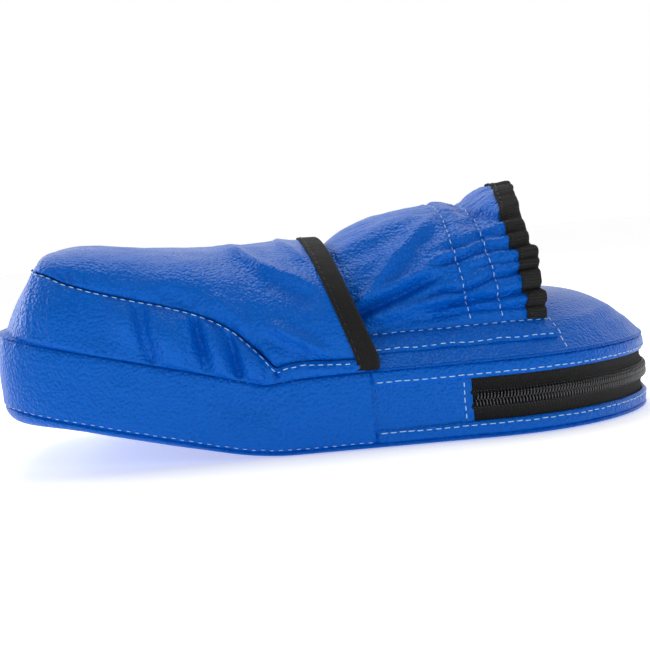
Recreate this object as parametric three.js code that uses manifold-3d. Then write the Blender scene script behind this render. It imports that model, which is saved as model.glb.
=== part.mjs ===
// A curved focus mitt: a hand-worn striking pad with a zipped foam core, a finger cover and an
// elasticated hand sleeve. Millimetres, +Z up. The flat palm section of the striking face lies on
// z = 0, and the origin is the centre of the heel's round on that face. -X is the finger end,
// +X the wrist end, and the two sides mirror each other about y = 0.
import * as THREE from "three";
import Module from "manifold-3d";
import { mergeVertices } from "three/addons/utils/BufferGeometryUtils.js";

const wasm = await Module();
wasm.setup();

// Outline of the pad, seen from above.
const heelRadius = 85;
const bendX = -111;
const bendHalfWidth = 77.5;
const fingerLength = 117;
const fingerSquareness = 5.6;

// The finger section turns up about the bend line.
const bendAngle = THREE.MathUtils.degToRad(15);
const bendBlend = 16;

// Skins and the running gap between pieces that touch.
const leather = 1.4;
const gap = 0.3;

// Pad thickness at its sewn edge, and the crown of the back panel above it.
const padHeight = 35;
const palmCrown = 26;
const fingerCrown = 12;
const crownReach = 50;
const crownPower = 2.2;
const seamFlange = 6;
const backPanelDrop = 2;

// Zip in the palm section's side wall. It starts a little way before the heel's round.
const wallJointX = bendX + 52;
const zipLead = 9.1;
const zipHeight = padHeight / 2 + 0.5;
const zipWindow = 19.2;
const tabSet = 0.1;
const tapeThickness = 0.6;
const tapeInset = leather + 0.4;
const tapeHidden = 3.6;
const tapeTuck = 12;
const coilWidth = 2.85;
const coilDepth = 2;
const coilProud = 0.5;

// Slider and its pull, parked at the closed end of the chain.
const sliderAngle = THREE.MathUtils.degToRad(84);
const sliderLength = 11;
const sliderPlate = 1.3;
const sliderWall = 1.2;
const sliderClearance = 0.4;
const sliderChamfer = 0.6;
const bridgeLength = 7;
const bridgeWidth = 2;
const bridgeWall = 1.25;
const bridgeOpening = 1.75;
const pullWidth = 6.4;
const pullLength = 24;
const pullThickness = 1;
const pullClearance = 0.4;
const stopLength = 2;
const stopProud = 0.4;

// Foam layers, face side first. The core lies behind the zip and is set back to leave it room.
const faceFoam = zipHeight - 8;
const coreFoam = 12;
const foamGap = 0.8;
const foamInset = tapeInset + tapeThickness + tabSet + gap;
const coreInset = foamInset + sliderPlate + foamGap;

// Finger cover, measured up from the pad's sewn edge.
const bandHeight = 27;
const bandFoot = 1.2;
const bandFallStart = bendX - 25;
const bandFallEnd = bendX + 13;
const tipLean = 20;
const sideLean = 6;
const coverEdgeX = wallJointX + 3.5;
const coverSlant = 0.33;
const mouthRise = 59;
const coverLength = 160;
const archPower = 2.4;
const coverFoam = 5;
const coverLining = 0.8;
// Rise of the cover's middle line above its filled seam, at shares from the finger end to the mouth.
const coverRise = [
  [0, 0], [0.03, 0.2], [0.05, 2.6], [0.078, 5.4], [0.12, 8.8], [0.16, 11.6], [0.197, 13.4], [0.25, 15.1],
  [0.31, 16.8], [0.375, 22.2], [0.438, 34.2], [0.5, 38.7], [0.563, 43.8], [0.625, 48.8], [0.688, 53.2],
  [0.75, 56.7], [0.813, 58.6], [0.875, 59], [0.94, 59], [1, 58.9],
];

// Bound edges: a folded woven tape over the edge of the skin.
const bindingWidth = 9.5;
const bindingTape = 0.7;
const bindingOverhang = 1.3;

// Hand sleeve from the finger cover to the cuff.
const sleeveLeather = 1.2;
const sleeveOverlap = 10;
const sleeveInset = 14.6;
const cuffX = heelRadius - 59;
const cuffFoot = 0.012;
// Height of the sleeve's middle line above the pad's edge, at shares from its start to the cuff.
const sleeveRise = [
  [0, 53.6], [0.1, 55.6], [0.243, 64.6], [0.423, 69.9], [0.648, 71.8], [0.784, 70.4], [0.856, 75.3],
  [1, 78],
];
const elasticX = cuffX - 39;
const elasticWidth = 15;
const elasticThickness = 1.1;
const elasticMargin = 0.05;

// Hems that hold the sleeve down on the back panel.
const hemStartX = coverEdgeX - 0.5;
const hemEndX = cuffX + 2;
const hemWidth = 7.6;
const hemGap = 0.6;
const hemOuterInset = sleeveInset - hemGap - hemWidth;
const hemLift = 1.3;

// Grid steps of the shaped solids.
const fingerSteps = 10;
const bendSteps = 6;
const sideSteps = 4;
const heelSteps = 11;
const capSteps = (fingerSteps + 1 + bendSteps + sideSteps + heelSteps) / 2;
const sleeveSteps = 16;
const archSteps = 24;
const tiny = 1e-9;

const lerp = THREE.MathUtils.lerp;
const clamp = THREE.MathUtils.clamp;
const vec = (x, y, z) => new THREE.Vector3(x, y, z);

/** The near tangent from the bend's corner to the heel's round: the point where they meet. */
const bendDistance = Math.hypot(bendX, bendHalfWidth);
const tangentAngle = Math.atan2(-bendHalfWidth, bendX) + Math.acos(heelRadius / bendDistance);
const tangentX = heelRadius * Math.cos(tangentAngle);
const tangentY = -heelRadius * Math.sin(tangentAngle);
const zipStartX = tangentX - zipLead;

/** Half width of the pad at x: a superellipse, a straight taper and a circle. */
function halfWidthAt(x) {
  if (x < bendX) {
    const share = Math.min(1, (bendX - x) / fingerLength);
    return bendHalfWidth * (1 - share ** fingerSquareness) ** (1 / fingerSquareness);
  }
  if (x < tangentX) {
    return lerp(bendHalfWidth, tangentY, (x - bendX) / (tangentX - bendX));
  }
  return Math.sqrt(Math.max(0, heelRadius ** 2 - x ** 2));
}

/** Height that the bend adds at x: nothing on the palm, a ramp on the fingers, a parabola between. */
function liftAt(x) {
  const past = bendX - x;
  const slope = Math.tan(bendAngle);
  if (past < -bendBlend) {
    return 0;
  }
  if (past < bendBlend) {
    return (slope * (past + bendBlend) ** 2) / (4 * bendBlend);
  }
  return slope * past;
}

/** Stations on the near side from the middle of the finger end to the middle of the heel. */
function nearStations() {
  const points = [];
  const lastAngle = THREE.MathUtils.degToRad(80);
  const power = 2 / fingerSquareness;
  for (let i = 0; i <= fingerSteps; i += 1) {
    const angle = (lastAngle * i) / fingerSteps;
    const x = bendX - fingerLength * Math.cos(angle) ** power;
    points.push(new THREE.Vector2(x, -bendHalfWidth * Math.sin(angle) ** power));
  }
  for (let i = 0; i <= bendSteps; i += 1) {
    const x = bendX + lerp(-bendBlend, bendBlend, i / bendSteps);
    points.push(new THREE.Vector2(x, -halfWidthAt(x)));
  }
  for (let i = 1; i < sideSteps; i += 1) {
    const x = lerp(bendX + bendBlend, tangentX, i / sideSteps);
    points.push(new THREE.Vector2(x, -halfWidthAt(x)));
  }
  for (let i = 0; i < heelSteps; i += 1) {
    const angle = tangentAngle * (1 - i / heelSteps);
    points.push(new THREE.Vector2(heelRadius * Math.cos(angle), heelRadius * Math.sin(angle)));
  }
  points.push(new THREE.Vector2(heelRadius, 0));
  return points;
}

const near = nearStations();
const far = near.slice(1, -1).reverse().map((p) => new THREE.Vector2(p.x, -p.y));
const outline = [...near, ...far];

/** Distance from a point inside the pad to the nearest stretch of its outline. */
function insetOf(x, y) {
  let best = Infinity;
  outline.forEach((start, i) => {
    const end = outline[(i + 1) % outline.length];
    const along = new THREE.Vector2().subVectors(end, start);
    const to = new THREE.Vector2(x, y).sub(start);
    const share = clamp(to.dot(along) / along.lengthSq(), 0, 1);
    best = Math.min(best, to.addScaledVector(along, -share).length());
  });
  return best;
}

/** Height of the back panel's outer surface: a flat sewn flange, then a crown that eases off inward. */
function backHeight(x, y) {
  const share = clamp((insetOf(x, y) - seamFlange) / (crownReach - seamFlange), 0, 1);
  const palmShare = THREE.MathUtils.smoothstep(x, bendX - 40, bendX + 70);
  const crown = lerp(fingerCrown, palmCrown, palmShare);
  return padHeight + liftAt(x) + crown * (1 - (1 - share) ** crownPower);
}

/** A closed solid from a segmented box: place(a, b, c) gives the point for each corner's shares 0 to 1. */
function shaped(place, aSteps, bSteps, cSteps = 1) {
  const geometry = new THREE.BoxGeometry(1, 1, 1, aSteps, bSteps, cSteps);
  const position = geometry.getAttribute("position");
  for (let i = 0; i < position.count; i += 1) {
    const p = place(position.getX(i) + 0.5, position.getY(i) + 0.5, position.getZ(i) + 0.5);
    position.setXYZ(i, p.x, p.y, p.z);
  }
  matchDiagonals(geometry);
  if (signedVolume(geometry) < 0) {
    turnInsideOut(geometry);
  }
  geometry.computeVertexNormals();
  return geometry;
}

/** Splits the low side's quads along the high side's corners, so that stacked pieces share facets. */
function matchDiagonals(geometry) {
  const low = geometry.groups.at(-1);
  const index = geometry.getIndex();
  const quad = 6;
  for (let i = low.start; i < low.start + low.count; i += quad) {
    const [a, b, d, c] = [0, 1, 2, 4].map((k) => index.getX(i + k));
    [a, b, c, a, c, d].forEach((corner, k) => index.setX(i + k, corner));
  }
}

/** Six times the volume that a closed triangle mesh holds, negative when its faces point in. */
function signedVolume(geometry) {
  const position = geometry.getAttribute("position");
  const index = geometry.getIndex();
  const corner = (i) => new THREE.Vector3().fromBufferAttribute(position, index.getX(i));
  let sum = 0;
  for (let i = 0; i < index.count; i += 3) {
    sum += corner(i).dot(corner(i + 1).cross(corner(i + 2)));
  }
  return sum;
}

function turnInsideOut(geometry) {
  const index = geometry.getIndex();
  for (let i = 0; i < index.count; i += 3) {
    const first = index.getX(i);
    index.setX(i, index.getX(i + 2));
    index.setX(i + 2, first);
  }
}

/** Outline point for a share of the way round, moved in along the outline's own normal. */
function outlinePoint(share, inset) {
  const count = outline.length;
  const place = ((share % 1) + 1) % 1 * count;
  const i = Math.floor(place) % count;
  const part = place - Math.floor(place);
  const corner = (k) => insetCorner(outline[(k + count - 1) % count], outline[k % count],
    outline[(k + 1) % count], inset);
  return corner(i).lerp(corner(i + 1), part);
}

/** A corner of a path moved in so that both of its sides move in by the same amount. */
function insetCorner(before, at, after, inset) {
  const inDirection = new THREE.Vector2().subVectors(at, before).normalize();
  const outDirection = new THREE.Vector2().subVectors(after, at).normalize();
  const inNormal = new THREE.Vector2(-inDirection.y, inDirection.x);
  const outNormal = new THREE.Vector2(-outDirection.y, outDirection.x);
  const middle = inNormal.clone().add(outNormal).normalize();
  return at.clone().addScaledVector(middle, inset / middle.dot(inNormal));
}

/** A layer that fills the pad's plan: a rim one flange wide, then rings that shrink onto the middle. */
function layer(inset, bottomAt, topAt) {
  const middle = new THREE.Vector2(bendX / 2, 0);
  const place = (a, b, c) => {
    const u = 2 * a - 1;
    const v = 2 * b - 1;
    const ring = Math.max(Math.abs(u), Math.abs(v));
    if (ring < tiny) {
      return vec(middle.x, middle.y, lerp(bottomAt(middle.x, 0), topAt(middle.x, 0), c));
    }
    const inside = ring < 1 - 1 / capSteps;
    const edge = outlinePoint(squareShare(u / ring, v / ring), inside ? seamFlange : inset);
    const spread = inside ? ring / (1 - 2 / capSteps) : 1;
    const x = lerp(middle.x, edge.x, spread);
    const y = lerp(middle.y, edge.y, spread);
    return vec(x, y, lerp(bottomAt(x, y), topAt(x, y), c));
  };
  return shaped(place, capSteps, capSteps);
}

/** Share of the way round a square, from the middle of its -u side by way of its -v side. */
function squareShare(u, v) {
  const side = 0.25;
  if (u <= -1 + tiny) {
    return (-v / 2) * side;
  }
  if (v <= -1 + tiny) {
    return side / 2 + ((u + 1) / 2) * side;
  }
  if (u >= 1 - tiny) {
    return side * 1.5 + ((v + 1) / 2) * side;
  }
  return side * 2.5 + ((1 - u) / 2) * side;
}

/** Stations from the near side at fromX round the heel to the far side, for walls and tapes. */
function heelPath(fromX) {
  const angles = [];
  for (let i = 0; i <= 2 * heelSteps; i += 1) {
    angles.push(tangentAngle * (1 - i / heelSteps));
  }
  const arc = angles.map((angle) => ({
    point: new THREE.Vector2(Math.cos(angle), Math.sin(angle)).multiplyScalar(heelRadius),
    out: new THREE.Vector2(Math.cos(angle), Math.sin(angle)),
  }));
  const end = (y, angle) => ({
    point: new THREE.Vector2(fromX, y * halfWidthAt(fromX)),
    out: new THREE.Vector2(Math.cos(angle), Math.sin(angle)),
  });
  return [end(-1, tangentAngle), ...arc, end(1, -tangentAngle)];
}

/** Stations along one straight side between two x values. side is -1 near and 1 far. */
function sidePath(side, fromX, toX) {
  const out = new THREE.Vector2(Math.cos(tangentAngle), side * -Math.sin(tangentAngle));
  return [fromX, toX].map((x) => ({ point: new THREE.Vector2(x, side * halfWidthAt(x)), out }));
}

/** Stations from the near side at fromX round the finger end to the far side. */
function fingerPath(fromX) {
  const side = near.filter((p) => p.x < fromX - 1);
  const start = new THREE.Vector2(fromX, -halfWidthAt(fromX));
  const half = [start, ...side.reverse()];
  const other = half.slice(0, -1).reverse().map((p) => new THREE.Vector2(p.x, -p.y));
  const points = [...half, ...other];
  return points.map((point, i) => {
    const before = points[Math.max(0, i - 1)];
    const after = points[Math.min(points.length - 1, i + 1)];
    const along = new THREE.Vector2().subVectors(after, before).normalize();
    return { point, out: new THREE.Vector2(along.y, -along.x).negate() };
  });
}

/** A wall that stands along a path, between two insets and two heights above the bent base. */
function wall(path, innerInset, outerInset, bottom, top) {
  const place = (a, b, c) => {
    const station = path[Math.round(a * (path.length - 1))];
    const inset = lerp(innerInset, outerInset, c);
    const p = station.point.clone().addScaledVector(station.out, -inset);
    return vec(p.x, p.y, lerp(bottom, top, b) + liftAt(station.point.x));
  };
  return shaped(place, path.length - 1, 1);
}

/** A skin under a surface: surface(a, b) gives its outer point, depthAt(a, b, c) how far under it. */
function skin(surface, depthAt, aSteps, bSteps, cSteps = 1) {
  const step = 1e-3;
  const place = (a, b, c) => {
    const p = surface(a, b);
    const alongA = surface(Math.min(1, a + step), b).sub(surface(Math.max(0, a - step), b));
    const alongB = surface(a, Math.min(1, b + step)).sub(surface(a, Math.max(0, b - step)));
    const normal = alongA.normalize().cross(alongB.normalize()).normalize();
    return p.addScaledVector(normal, -depthAt(a, b, c));
  };
  return shaped(place, aSteps, bSteps, cSteps);
}

/** A smooth curve through a few chosen points of a share and a height. */
function heightCurve(points) {
  return (x) => {
    const last = points.length - 1;
    const i = clamp(points.findIndex((p) => p[0] > x) - 1, 0, last - 1);
    const at = (k) => points[clamp(k, 0, last)];
    const slope = (k) => (at(k + 1)[1] - at(k - 1)[1]) / (at(k + 1)[0] - at(k - 1)[0]);
    const inside = x >= points[last][0] ? last - 1 : i;
    const run = at(inside + 1)[0] - at(inside)[0];
    const s = clamp((x - at(inside)[0]) / run, 0, 1);
    const rise = (3 - 2 * s) * s * s;
    const start = slope(inside) * run * s * (1 - s) * (1 - s);
    const finish = slope(inside + 1) * run * s * s * (1 - s);
    return lerp(at(inside)[1], at(inside + 1)[1], rise) + start - finish;
  };
}

const coverRiseAt = heightCurve(coverRise);
const sleeveRiseAt = heightCurve(sleeveRise);
const mouthTopX = coverEdgeX - coverSlant * mouthRise;
const sleeveTopX = mouthTopX - sleeveOverlap;

/** Height of the finger cover's seam above the pad's edge: level, then a fall to its foot. */
function bandTopAt(x) {
  return lerp(bandHeight, bandFoot, THREE.MathUtils.smoothstep(x, bandFallStart, bandFallEnd));
}

/** Stations of the finger cover's foot, and the lean of its side at each. */
const coverPath = fingerPath(coverEdgeX);

function leanOf(station) {
  const toTip = clamp(-station.out.x, 0, 1);
  return (lerp(sideLean, tipLean, toTip) * bandTopAt(station.point.x)) / bandHeight;
}

/** The cover's seam: the pad's outline, moved in by the lean and up by the side band's height. */
function seamPoint(station) {
  const p = station.point.clone().addScaledVector(station.out, -leanOf(station));
  return vec(p.x, p.y, padHeight + liftAt(station.point.x) + bandTopAt(station.point.x));
}

const seam = coverPath.map(seamPoint);
const cornerCount = Math.round(fingerSteps / 2) + 1;
const tipMiddle = (seam.length - 1) / 2;
const nearSeam = seam.slice(0, tipMiddle - cornerCount + 2).reverse();
const tipSeam = seam.slice(tipMiddle - cornerCount + 1, tipMiddle + cornerCount);
const farSeam = seam.slice(tipMiddle + cornerCount - 1);
// One step for each station of the seam, so that the cover and its side band share their corners.
const coverSteps = nearSeam.length - 1;

/** A point at a share of a list of points, by straight steps. */
function alongPoints(points, share) {
  const place = clamp(share, 0, 1) * (points.length - 1);
  const i = Math.min(points.length - 2, Math.floor(place));
  return points[i].clone().lerp(points[i + 1], place - i);
}

/** Across-share and rise of a boxy arch at b, from the near foot 0 to the far foot 1. */
function arch(b) {
  const angle = Math.PI * clamp(b, 0, 1);
  const across = -Math.sign(Math.cos(angle)) * Math.abs(Math.cos(angle)) ** (2 / archPower);
  return { across, rise: Math.abs(Math.sin(angle)) ** (2 / archPower) };
}

/** The cover's outer surface: its seam filled by straight blends, plus an arch up to the ridge. */
function coverSurface(a, b) {
  const { across, rise } = arch(b);
  const v = (across + 1) / 2;
  const nearEdge = alongPoints(nearSeam, a);
  const farEdge = alongPoints(farSeam, a);
  const tipEdge = alongPoints(tipSeam, v);
  const openEdge = nearSeam.at(-1).clone().lerp(farSeam.at(-1), v);
  const ends = tipEdge.lerp(openEdge, a);
  const sides = nearEdge.lerp(farEdge, v);
  const nearCorner = nearSeam[0].clone().lerp(nearSeam.at(-1), a);
  const farCorner = farSeam[0].clone().lerp(farSeam.at(-1), a);
  const p = ends.add(sides).sub(nearCorner.lerp(farCorner, v));
  const height = coverRiseAt(a);
  p.z += height * rise;
  p.x -= coverSlant * a * a * height * rise;
  return p;
}

/** The sleeve's outer surface: arches from inside the cover's mouth to the cuff. */
function sleeveSurface(a, b) {
  const { across, rise } = arch(b);
  const startFoot = coverEdgeX - sleeveOverlap;
  const foot = lerp(startFoot, cuffX, a);
  const middle = lerp(sleeveTopX, cuffX, a);
  const half = halfWidthAt(foot) - sleeveInset;
  const low = backHeight(foot, -half) + hemLift;
  const top = padHeight + sleeveRiseAt(a);
  return vec(lerp(foot, middle, rise), half * across, low + (top - low) * rise);
}

/** A folded tape round the end of a skin: out side, turned edge and inner side in one strip. */
function bindingSolid(surface, startA, edgeOut, skinDepth, bSteps) {
  const outer = [
    [startA, -gap - bindingTape], [1, -gap - bindingTape], [edgeOut + 1, skinDepth / 2],
    [1, skinDepth + gap + bindingTape], [startA, skinDepth + gap + bindingTape],
  ];
  const inner = [
    [startA, -gap], [1, -gap], [1 + edgeOut / 2, skinDepth / 2],
    [1, skinDepth + gap], [startA, skinDepth + gap],
  ];
  const place = (a, b, c) => {
    const k = Math.round(a * (outer.length - 1));
    const along = lerp(outer[k][0], inner[k][0], c);
    const depth = lerp(outer[k][1], inner[k][1], c);
    return pointUnder(surface, along, b, depth);
  };
  return shaped(place, outer.length - 1, bSteps);
}

/** The point at a depth under a surface, carried straight on past the surface's last edge. */
function pointUnder(surface, a, b, depth) {
  const step = 1e-3;
  const inside = Math.min(1, a);
  const p = surface(inside, b);
  const back = surface(inside - step, b);
  const alongA = p.clone().sub(back);
  const alongB = surface(inside, Math.min(1, b + step)).sub(surface(inside, Math.max(0, b - step)));
  const normal = alongA.clone().normalize().cross(alongB.normalize()).normalize();
  p.addScaledVector(alongA, Math.max(0, a - 1) / step);
  return p.addScaledVector(normal, -depth);
}

const leatherBlue = { color: 0x0b5fd6, roughness: 0.42, metalness: 0 };
const darkTape = { color: 0x17171a, roughness: 0.85, metalness: 0 };
const foamGrey = { color: 0x5b6168, roughness: 0.95, metalness: 0 };
const foamPale = { color: 0xd8d4c4, roughness: 0.95, metalness: 0 };
const elasticWhite = { color: 0xe4e4e0, roughness: 0.9, metalness: 0 };
const liningBlack = { color: 0x202226, roughness: 0.8, metalness: 0 };
const nylonBlack = { color: 0x1c1d20, roughness: 0.5, metalness: 0 };
const zincBlack = { color: 0x2a2b2e, roughness: 0.4, metalness: 0.7 };

const mitt = new THREE.Group();

function add(name, geometry, look, parent = mitt) {
  const mesh = new THREE.Mesh(geometry, new THREE.MeshStandardMaterial(look));
  mesh.name = name;
  parent.add(mesh);
  return mesh;
}

/** Skins of the pad: the striking face, the crowned back and the finger end's plain side wall. */
function addPadSkins() {
  add("face_panel", layer(0, (x) => liftAt(x), (x) => liftAt(x) + leather), leatherBlue);
  const backBottom = (x, y) => backHeight(x, y) - backPanelDrop;
  add("back_panel", layer(0, backBottom, backHeight), leatherBlue);
  const top = padHeight - backPanelDrop - 2 * gap;
  const path = fingerPath(wallJointX - gap);
  add("finger_end_wall", wall(path, leather, 0, leather + gap, top), leatherBlue);
}

/** Three foam layers inside the skins. The back one follows the back panel's crown. */
function addFoam() {
  const faceBottom = leather + foamGap;
  const coreBottom = faceBottom + faceFoam + foamGap;
  const backBottom = coreBottom + coreFoam + foamGap;
  const level = (height) => (x) => liftAt(x) + height;
  const underBack = (x, y) => backHeight(x, y) - backPanelDrop - 2 * foamGap;
  add("foam_face_layer", layer(foamInset, level(faceBottom), level(faceBottom + faceFoam)), foamGrey);
  add("foam_core_layer", layer(coreInset, level(coreBottom), level(coreBottom + coreFoam)), foamPale);
  add("foam_back_layer", layer(foamInset, level(backBottom), underBack), foamPale);
}

/** The palm section's side wall: two strips, an end tab each side, two tapes and two coils. */
function addZip() {
  const low = zipHeight - zipWindow / 2;
  const high = zipHeight + zipWindow / 2;
  const stripPath = heelPath(wallJointX);
  const wallTop = padHeight - backPanelDrop - gap;
  add("lower_zip_strip", wall(stripPath, leather, 0, leather + gap, low), leatherBlue);
  add("upper_zip_strip", wall(stripPath, leather, 0, high, wallTop), leatherBlue);
  for (const [side, name] of [[-1, "near"], [1, "far"]]) {
    const path = sidePath(side, wallJointX, zipStartX);
    const tab = wall(path, leather + tabSet, tabSet, low + gap, high - gap);
    add(`zip_end_tab_${name}`, tab, leatherBlue);
  }
  const tapePath = heelPath(zipStartX - tapeTuck);
  const tapeInner = tapeInset + tapeThickness;
  const tapeGap = gap / 2;
  const tapeLow = Math.max(low - tapeHidden, leather + gap);
  const tapeHigh = Math.min(high + tapeHidden, wallTop);
  const lowerTape = wall(tapePath, tapeInner, tapeInset, tapeLow, zipHeight - tapeGap);
  const upperTape = wall(tapePath, tapeInner, tapeInset, zipHeight + tapeGap, tapeHigh);
  add("zip_tape_lower", lowerTape, darkTape);
  add("zip_tape_upper", upperTape, darkTape);
  const coilPath = heelPath(zipStartX + gap);
  const coilInner = coilDepth - coilProud;
  const coilLow = zipHeight - tapeGap - coilWidth;
  const coilHigh = zipHeight + tapeGap;
  const lowerCoil = wall(coilPath, coilInner, -coilProud, coilLow, coilLow + coilWidth);
  const upperCoil = wall(coilPath, coilInner, -coilProud, coilHigh, coilHigh + coilWidth);
  add("zip_coil_lower", lowerCoil, nylonBlack);
  add("zip_coil_upper", upperCoil, nylonBlack);
}

/** A closed geometry as a solid for a boolean cut or join. */
function solidOf(geometry) {
  const bare = geometry.clone();
  bare.deleteAttribute("normal");
  bare.deleteAttribute("uv");
  const merged = mergeVertices(bare, 1e-5);
  const mesh = new wasm.Mesh({
    numProp: 3,
    vertProperties: new Float32Array(merged.getAttribute("position").array),
    triVerts: new Uint32Array(merged.getIndex().array),
  });
  return new wasm.Manifold(mesh);
}

function geometryOf(solid) {
  const mesh = solid.getMesh();
  const geometry = new THREE.BufferGeometry();
  geometry.setAttribute("position", new THREE.BufferAttribute(mesh.vertProperties, 3));
  geometry.setIndex(new THREE.BufferAttribute(mesh.triVerts, 1));
  geometry.computeVertexNormals();
  return geometry;
}

/** A box by its low and high corners. */
function boxBetween(low, high) {
  const size = new THREE.Vector3().subVectors(high, low);
  const middle = new THREE.Vector3().addVectors(high, low).multiplyScalar(0.5);
  return new THREE.BoxGeometry(size.x, size.y, size.z).translate(middle.x, middle.y, middle.z);
}

/** Slider and pull in a turned group: +X is out of the pad, +Y along the zip to its closed end. */
function addSlider() {
  const slider = new THREE.Group();
  slider.rotation.z = sliderAngle;
  slider.position.z = zipHeight;
  mitt.add(slider);
  const plateIn = heelRadius + coilProud + gap;
  const plateOut = plateIn + sliderPlate;
  const wallIn = gap / 2 + coilWidth + sliderClearance;
  const wallOut = wallIn + sliderWall;
  const halfLength = sliderLength / 2;
  const flangeTip = heelRadius - tapeInset + sliderClearance + tabSet;

  const channel = new THREE.Shape([
    new THREE.Vector2(plateOut, -wallOut + sliderChamfer),
    new THREE.Vector2(plateOut, wallOut - sliderChamfer),
    new THREE.Vector2(plateOut - sliderChamfer, wallOut),
    new THREE.Vector2(flangeTip, wallOut),
    new THREE.Vector2(flangeTip, wallIn),
    new THREE.Vector2(plateIn, wallIn),
    new THREE.Vector2(plateIn, -wallIn),
    new THREE.Vector2(flangeTip, -wallIn),
    new THREE.Vector2(flangeTip, -wallOut),
    new THREE.Vector2(plateOut - sliderChamfer, -wallOut),
  ]);
  const options = { depth: sliderLength, bevelEnabled: false, steps: 1 };
  const body = new THREE.ExtrudeGeometry(channel, options);
  body.rotateX(Math.PI / 2);
  body.translate(0, halfLength, 0);

  const bridgeTop = plateOut + bridgeOpening + bridgeWall;
  const outerBlock = solidOf(boxBetween(
    vec(plateOut - sliderPlate / 4, -bridgeLength / 2, -bridgeWidth / 2),
    vec(bridgeTop, bridgeLength / 2, bridgeWidth / 2),
  ));
  const opening = solidOf(boxBetween(
    vec(plateOut, -bridgeLength / 2 + bridgeWall, -bridgeWidth),
    vec(plateOut + bridgeOpening, bridgeLength / 2 - bridgeWall, bridgeWidth),
  ));
  const front = solidOf(body).add(outerBlock.subtract(opening));
  add("zip_slider_front", geometryOf(front), zincBlack, slider);

  const backOut = heelRadius - tapeInset - tapeThickness - 2 * gap;
  const back = boxBetween(
    vec(backOut - sliderPlate, -halfLength, -wallOut),
    vec(backOut, halfLength, wallOut),
  );
  add("zip_slider_back", back, zincBlack, slider);

  const hingeX = plateOut + bridgeOpening / 2;
  const barHalf = pullThickness / 2;
  const windowHalf = bridgeWidth / 2 + pullClearance;
  const windowFar = -(Math.hypot(bridgeLength / 2, bridgeTop - hingeX) + pullClearance + tabSet);
  const tab = solidOf(boxBetween(
    vec(hingeX - barHalf, -pullLength, -pullWidth / 2),
    vec(hingeX + barHalf, barHalf, pullWidth / 2),
  ));
  const window = solidOf(boxBetween(
    vec(hingeX - pullThickness, windowFar, -windowHalf),
    vec(hingeX + pullThickness, -barHalf, windowHalf),
  ));
  add("zip_pull_tab", geometryOf(tab.subtract(window)), zincBlack, slider);

  const stopAngle = sliderAngle + (halfLength + stopLength) / heelRadius;
  for (const [side, name] of [[-1, "lower"], [1, "upper"]]) {
    const holder = new THREE.Group();
    holder.rotation.z = stopAngle;
    holder.position.z = zipHeight;
    mitt.add(holder);
    const inZ = side * (wallIn - sliderClearance + gap);
    const outZ = side * (wallOut + stopProud);
    const stop = boxBetween(
      vec(heelRadius - coilDepth + coilProud, -stopLength / 2, Math.min(inZ, outZ)),
      vec(heelRadius + coilProud, stopLength / 2, Math.max(inZ, outZ)),
    );
    add(`zip_end_stop_${name}`, stop, zincBlack, holder);
  }
}

/** The finger cover: a side band, a padded top and the bound edge of its mouth. */
function addFingerCover() {
  const bandPlace = (a, b, c) => {
    const station = coverPath[Math.round(a * (coverPath.length - 1))];
    const height = Math.max(2 * gap, bandTopAt(station.point.x) - leather - gap);
    const inset = leanOf(station) * b + leather * (1 - c);
    const p = station.point.clone().addScaledVector(station.out, -inset);
    return vec(p.x, p.y, padHeight + liftAt(station.point.x) + gap + (height - gap) * b);
  };
  add("finger_cover_side_band", shaped(bandPlace, coverPath.length - 1, 2), leatherBlue);

  const topDepth = (a, b, c) => leather * c;
  add("finger_cover_top_panel", skin(coverSurface, topDepth, coverSteps, archSteps), leatherBlue);

  // The inner layers stand on the same grid as the top panel, some steps in from its edges.
  const within = (endStep) => (a, b) => (
    coverSurface(lerp(1, endStep, a) / coverSteps, lerp(2, archSteps - 2, b) / archSteps)
  );
  const foamEnd = coverSteps - 2;
  const foamDepth = (a, b, c) => leather + 2 * gap + coverFoam * c;
  const foam = skin(within(foamEnd), foamDepth, foamEnd - 1, archSteps - 4);
  add("finger_cover_foam", foam, foamPale);

  const liningSteps = coverSteps - 1;
  const underFoam = (a) => Math.round(a * liningSteps) < foamEnd ? coverFoam + 2 * gap : 0;
  const liningDepth = (a, b, c) => leather + gap + underFoam(a) + coverLining * c;
  const lining = skin(within(coverSteps), liningDepth, liningSteps, archSteps - 4);
  add("finger_cover_lining", lining, liningBlack);

  const bindingStart = 1 - bindingWidth / coverLength;
  const skinDepth = leather + gap + coverLining;
  const edgeOut = bindingOverhang / coverLength;
  const binding = bindingSolid(coverSurface, bindingStart, edgeOut, skinDepth, archSteps);
  add("finger_cover_binding", binding, darkTape);
}

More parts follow.
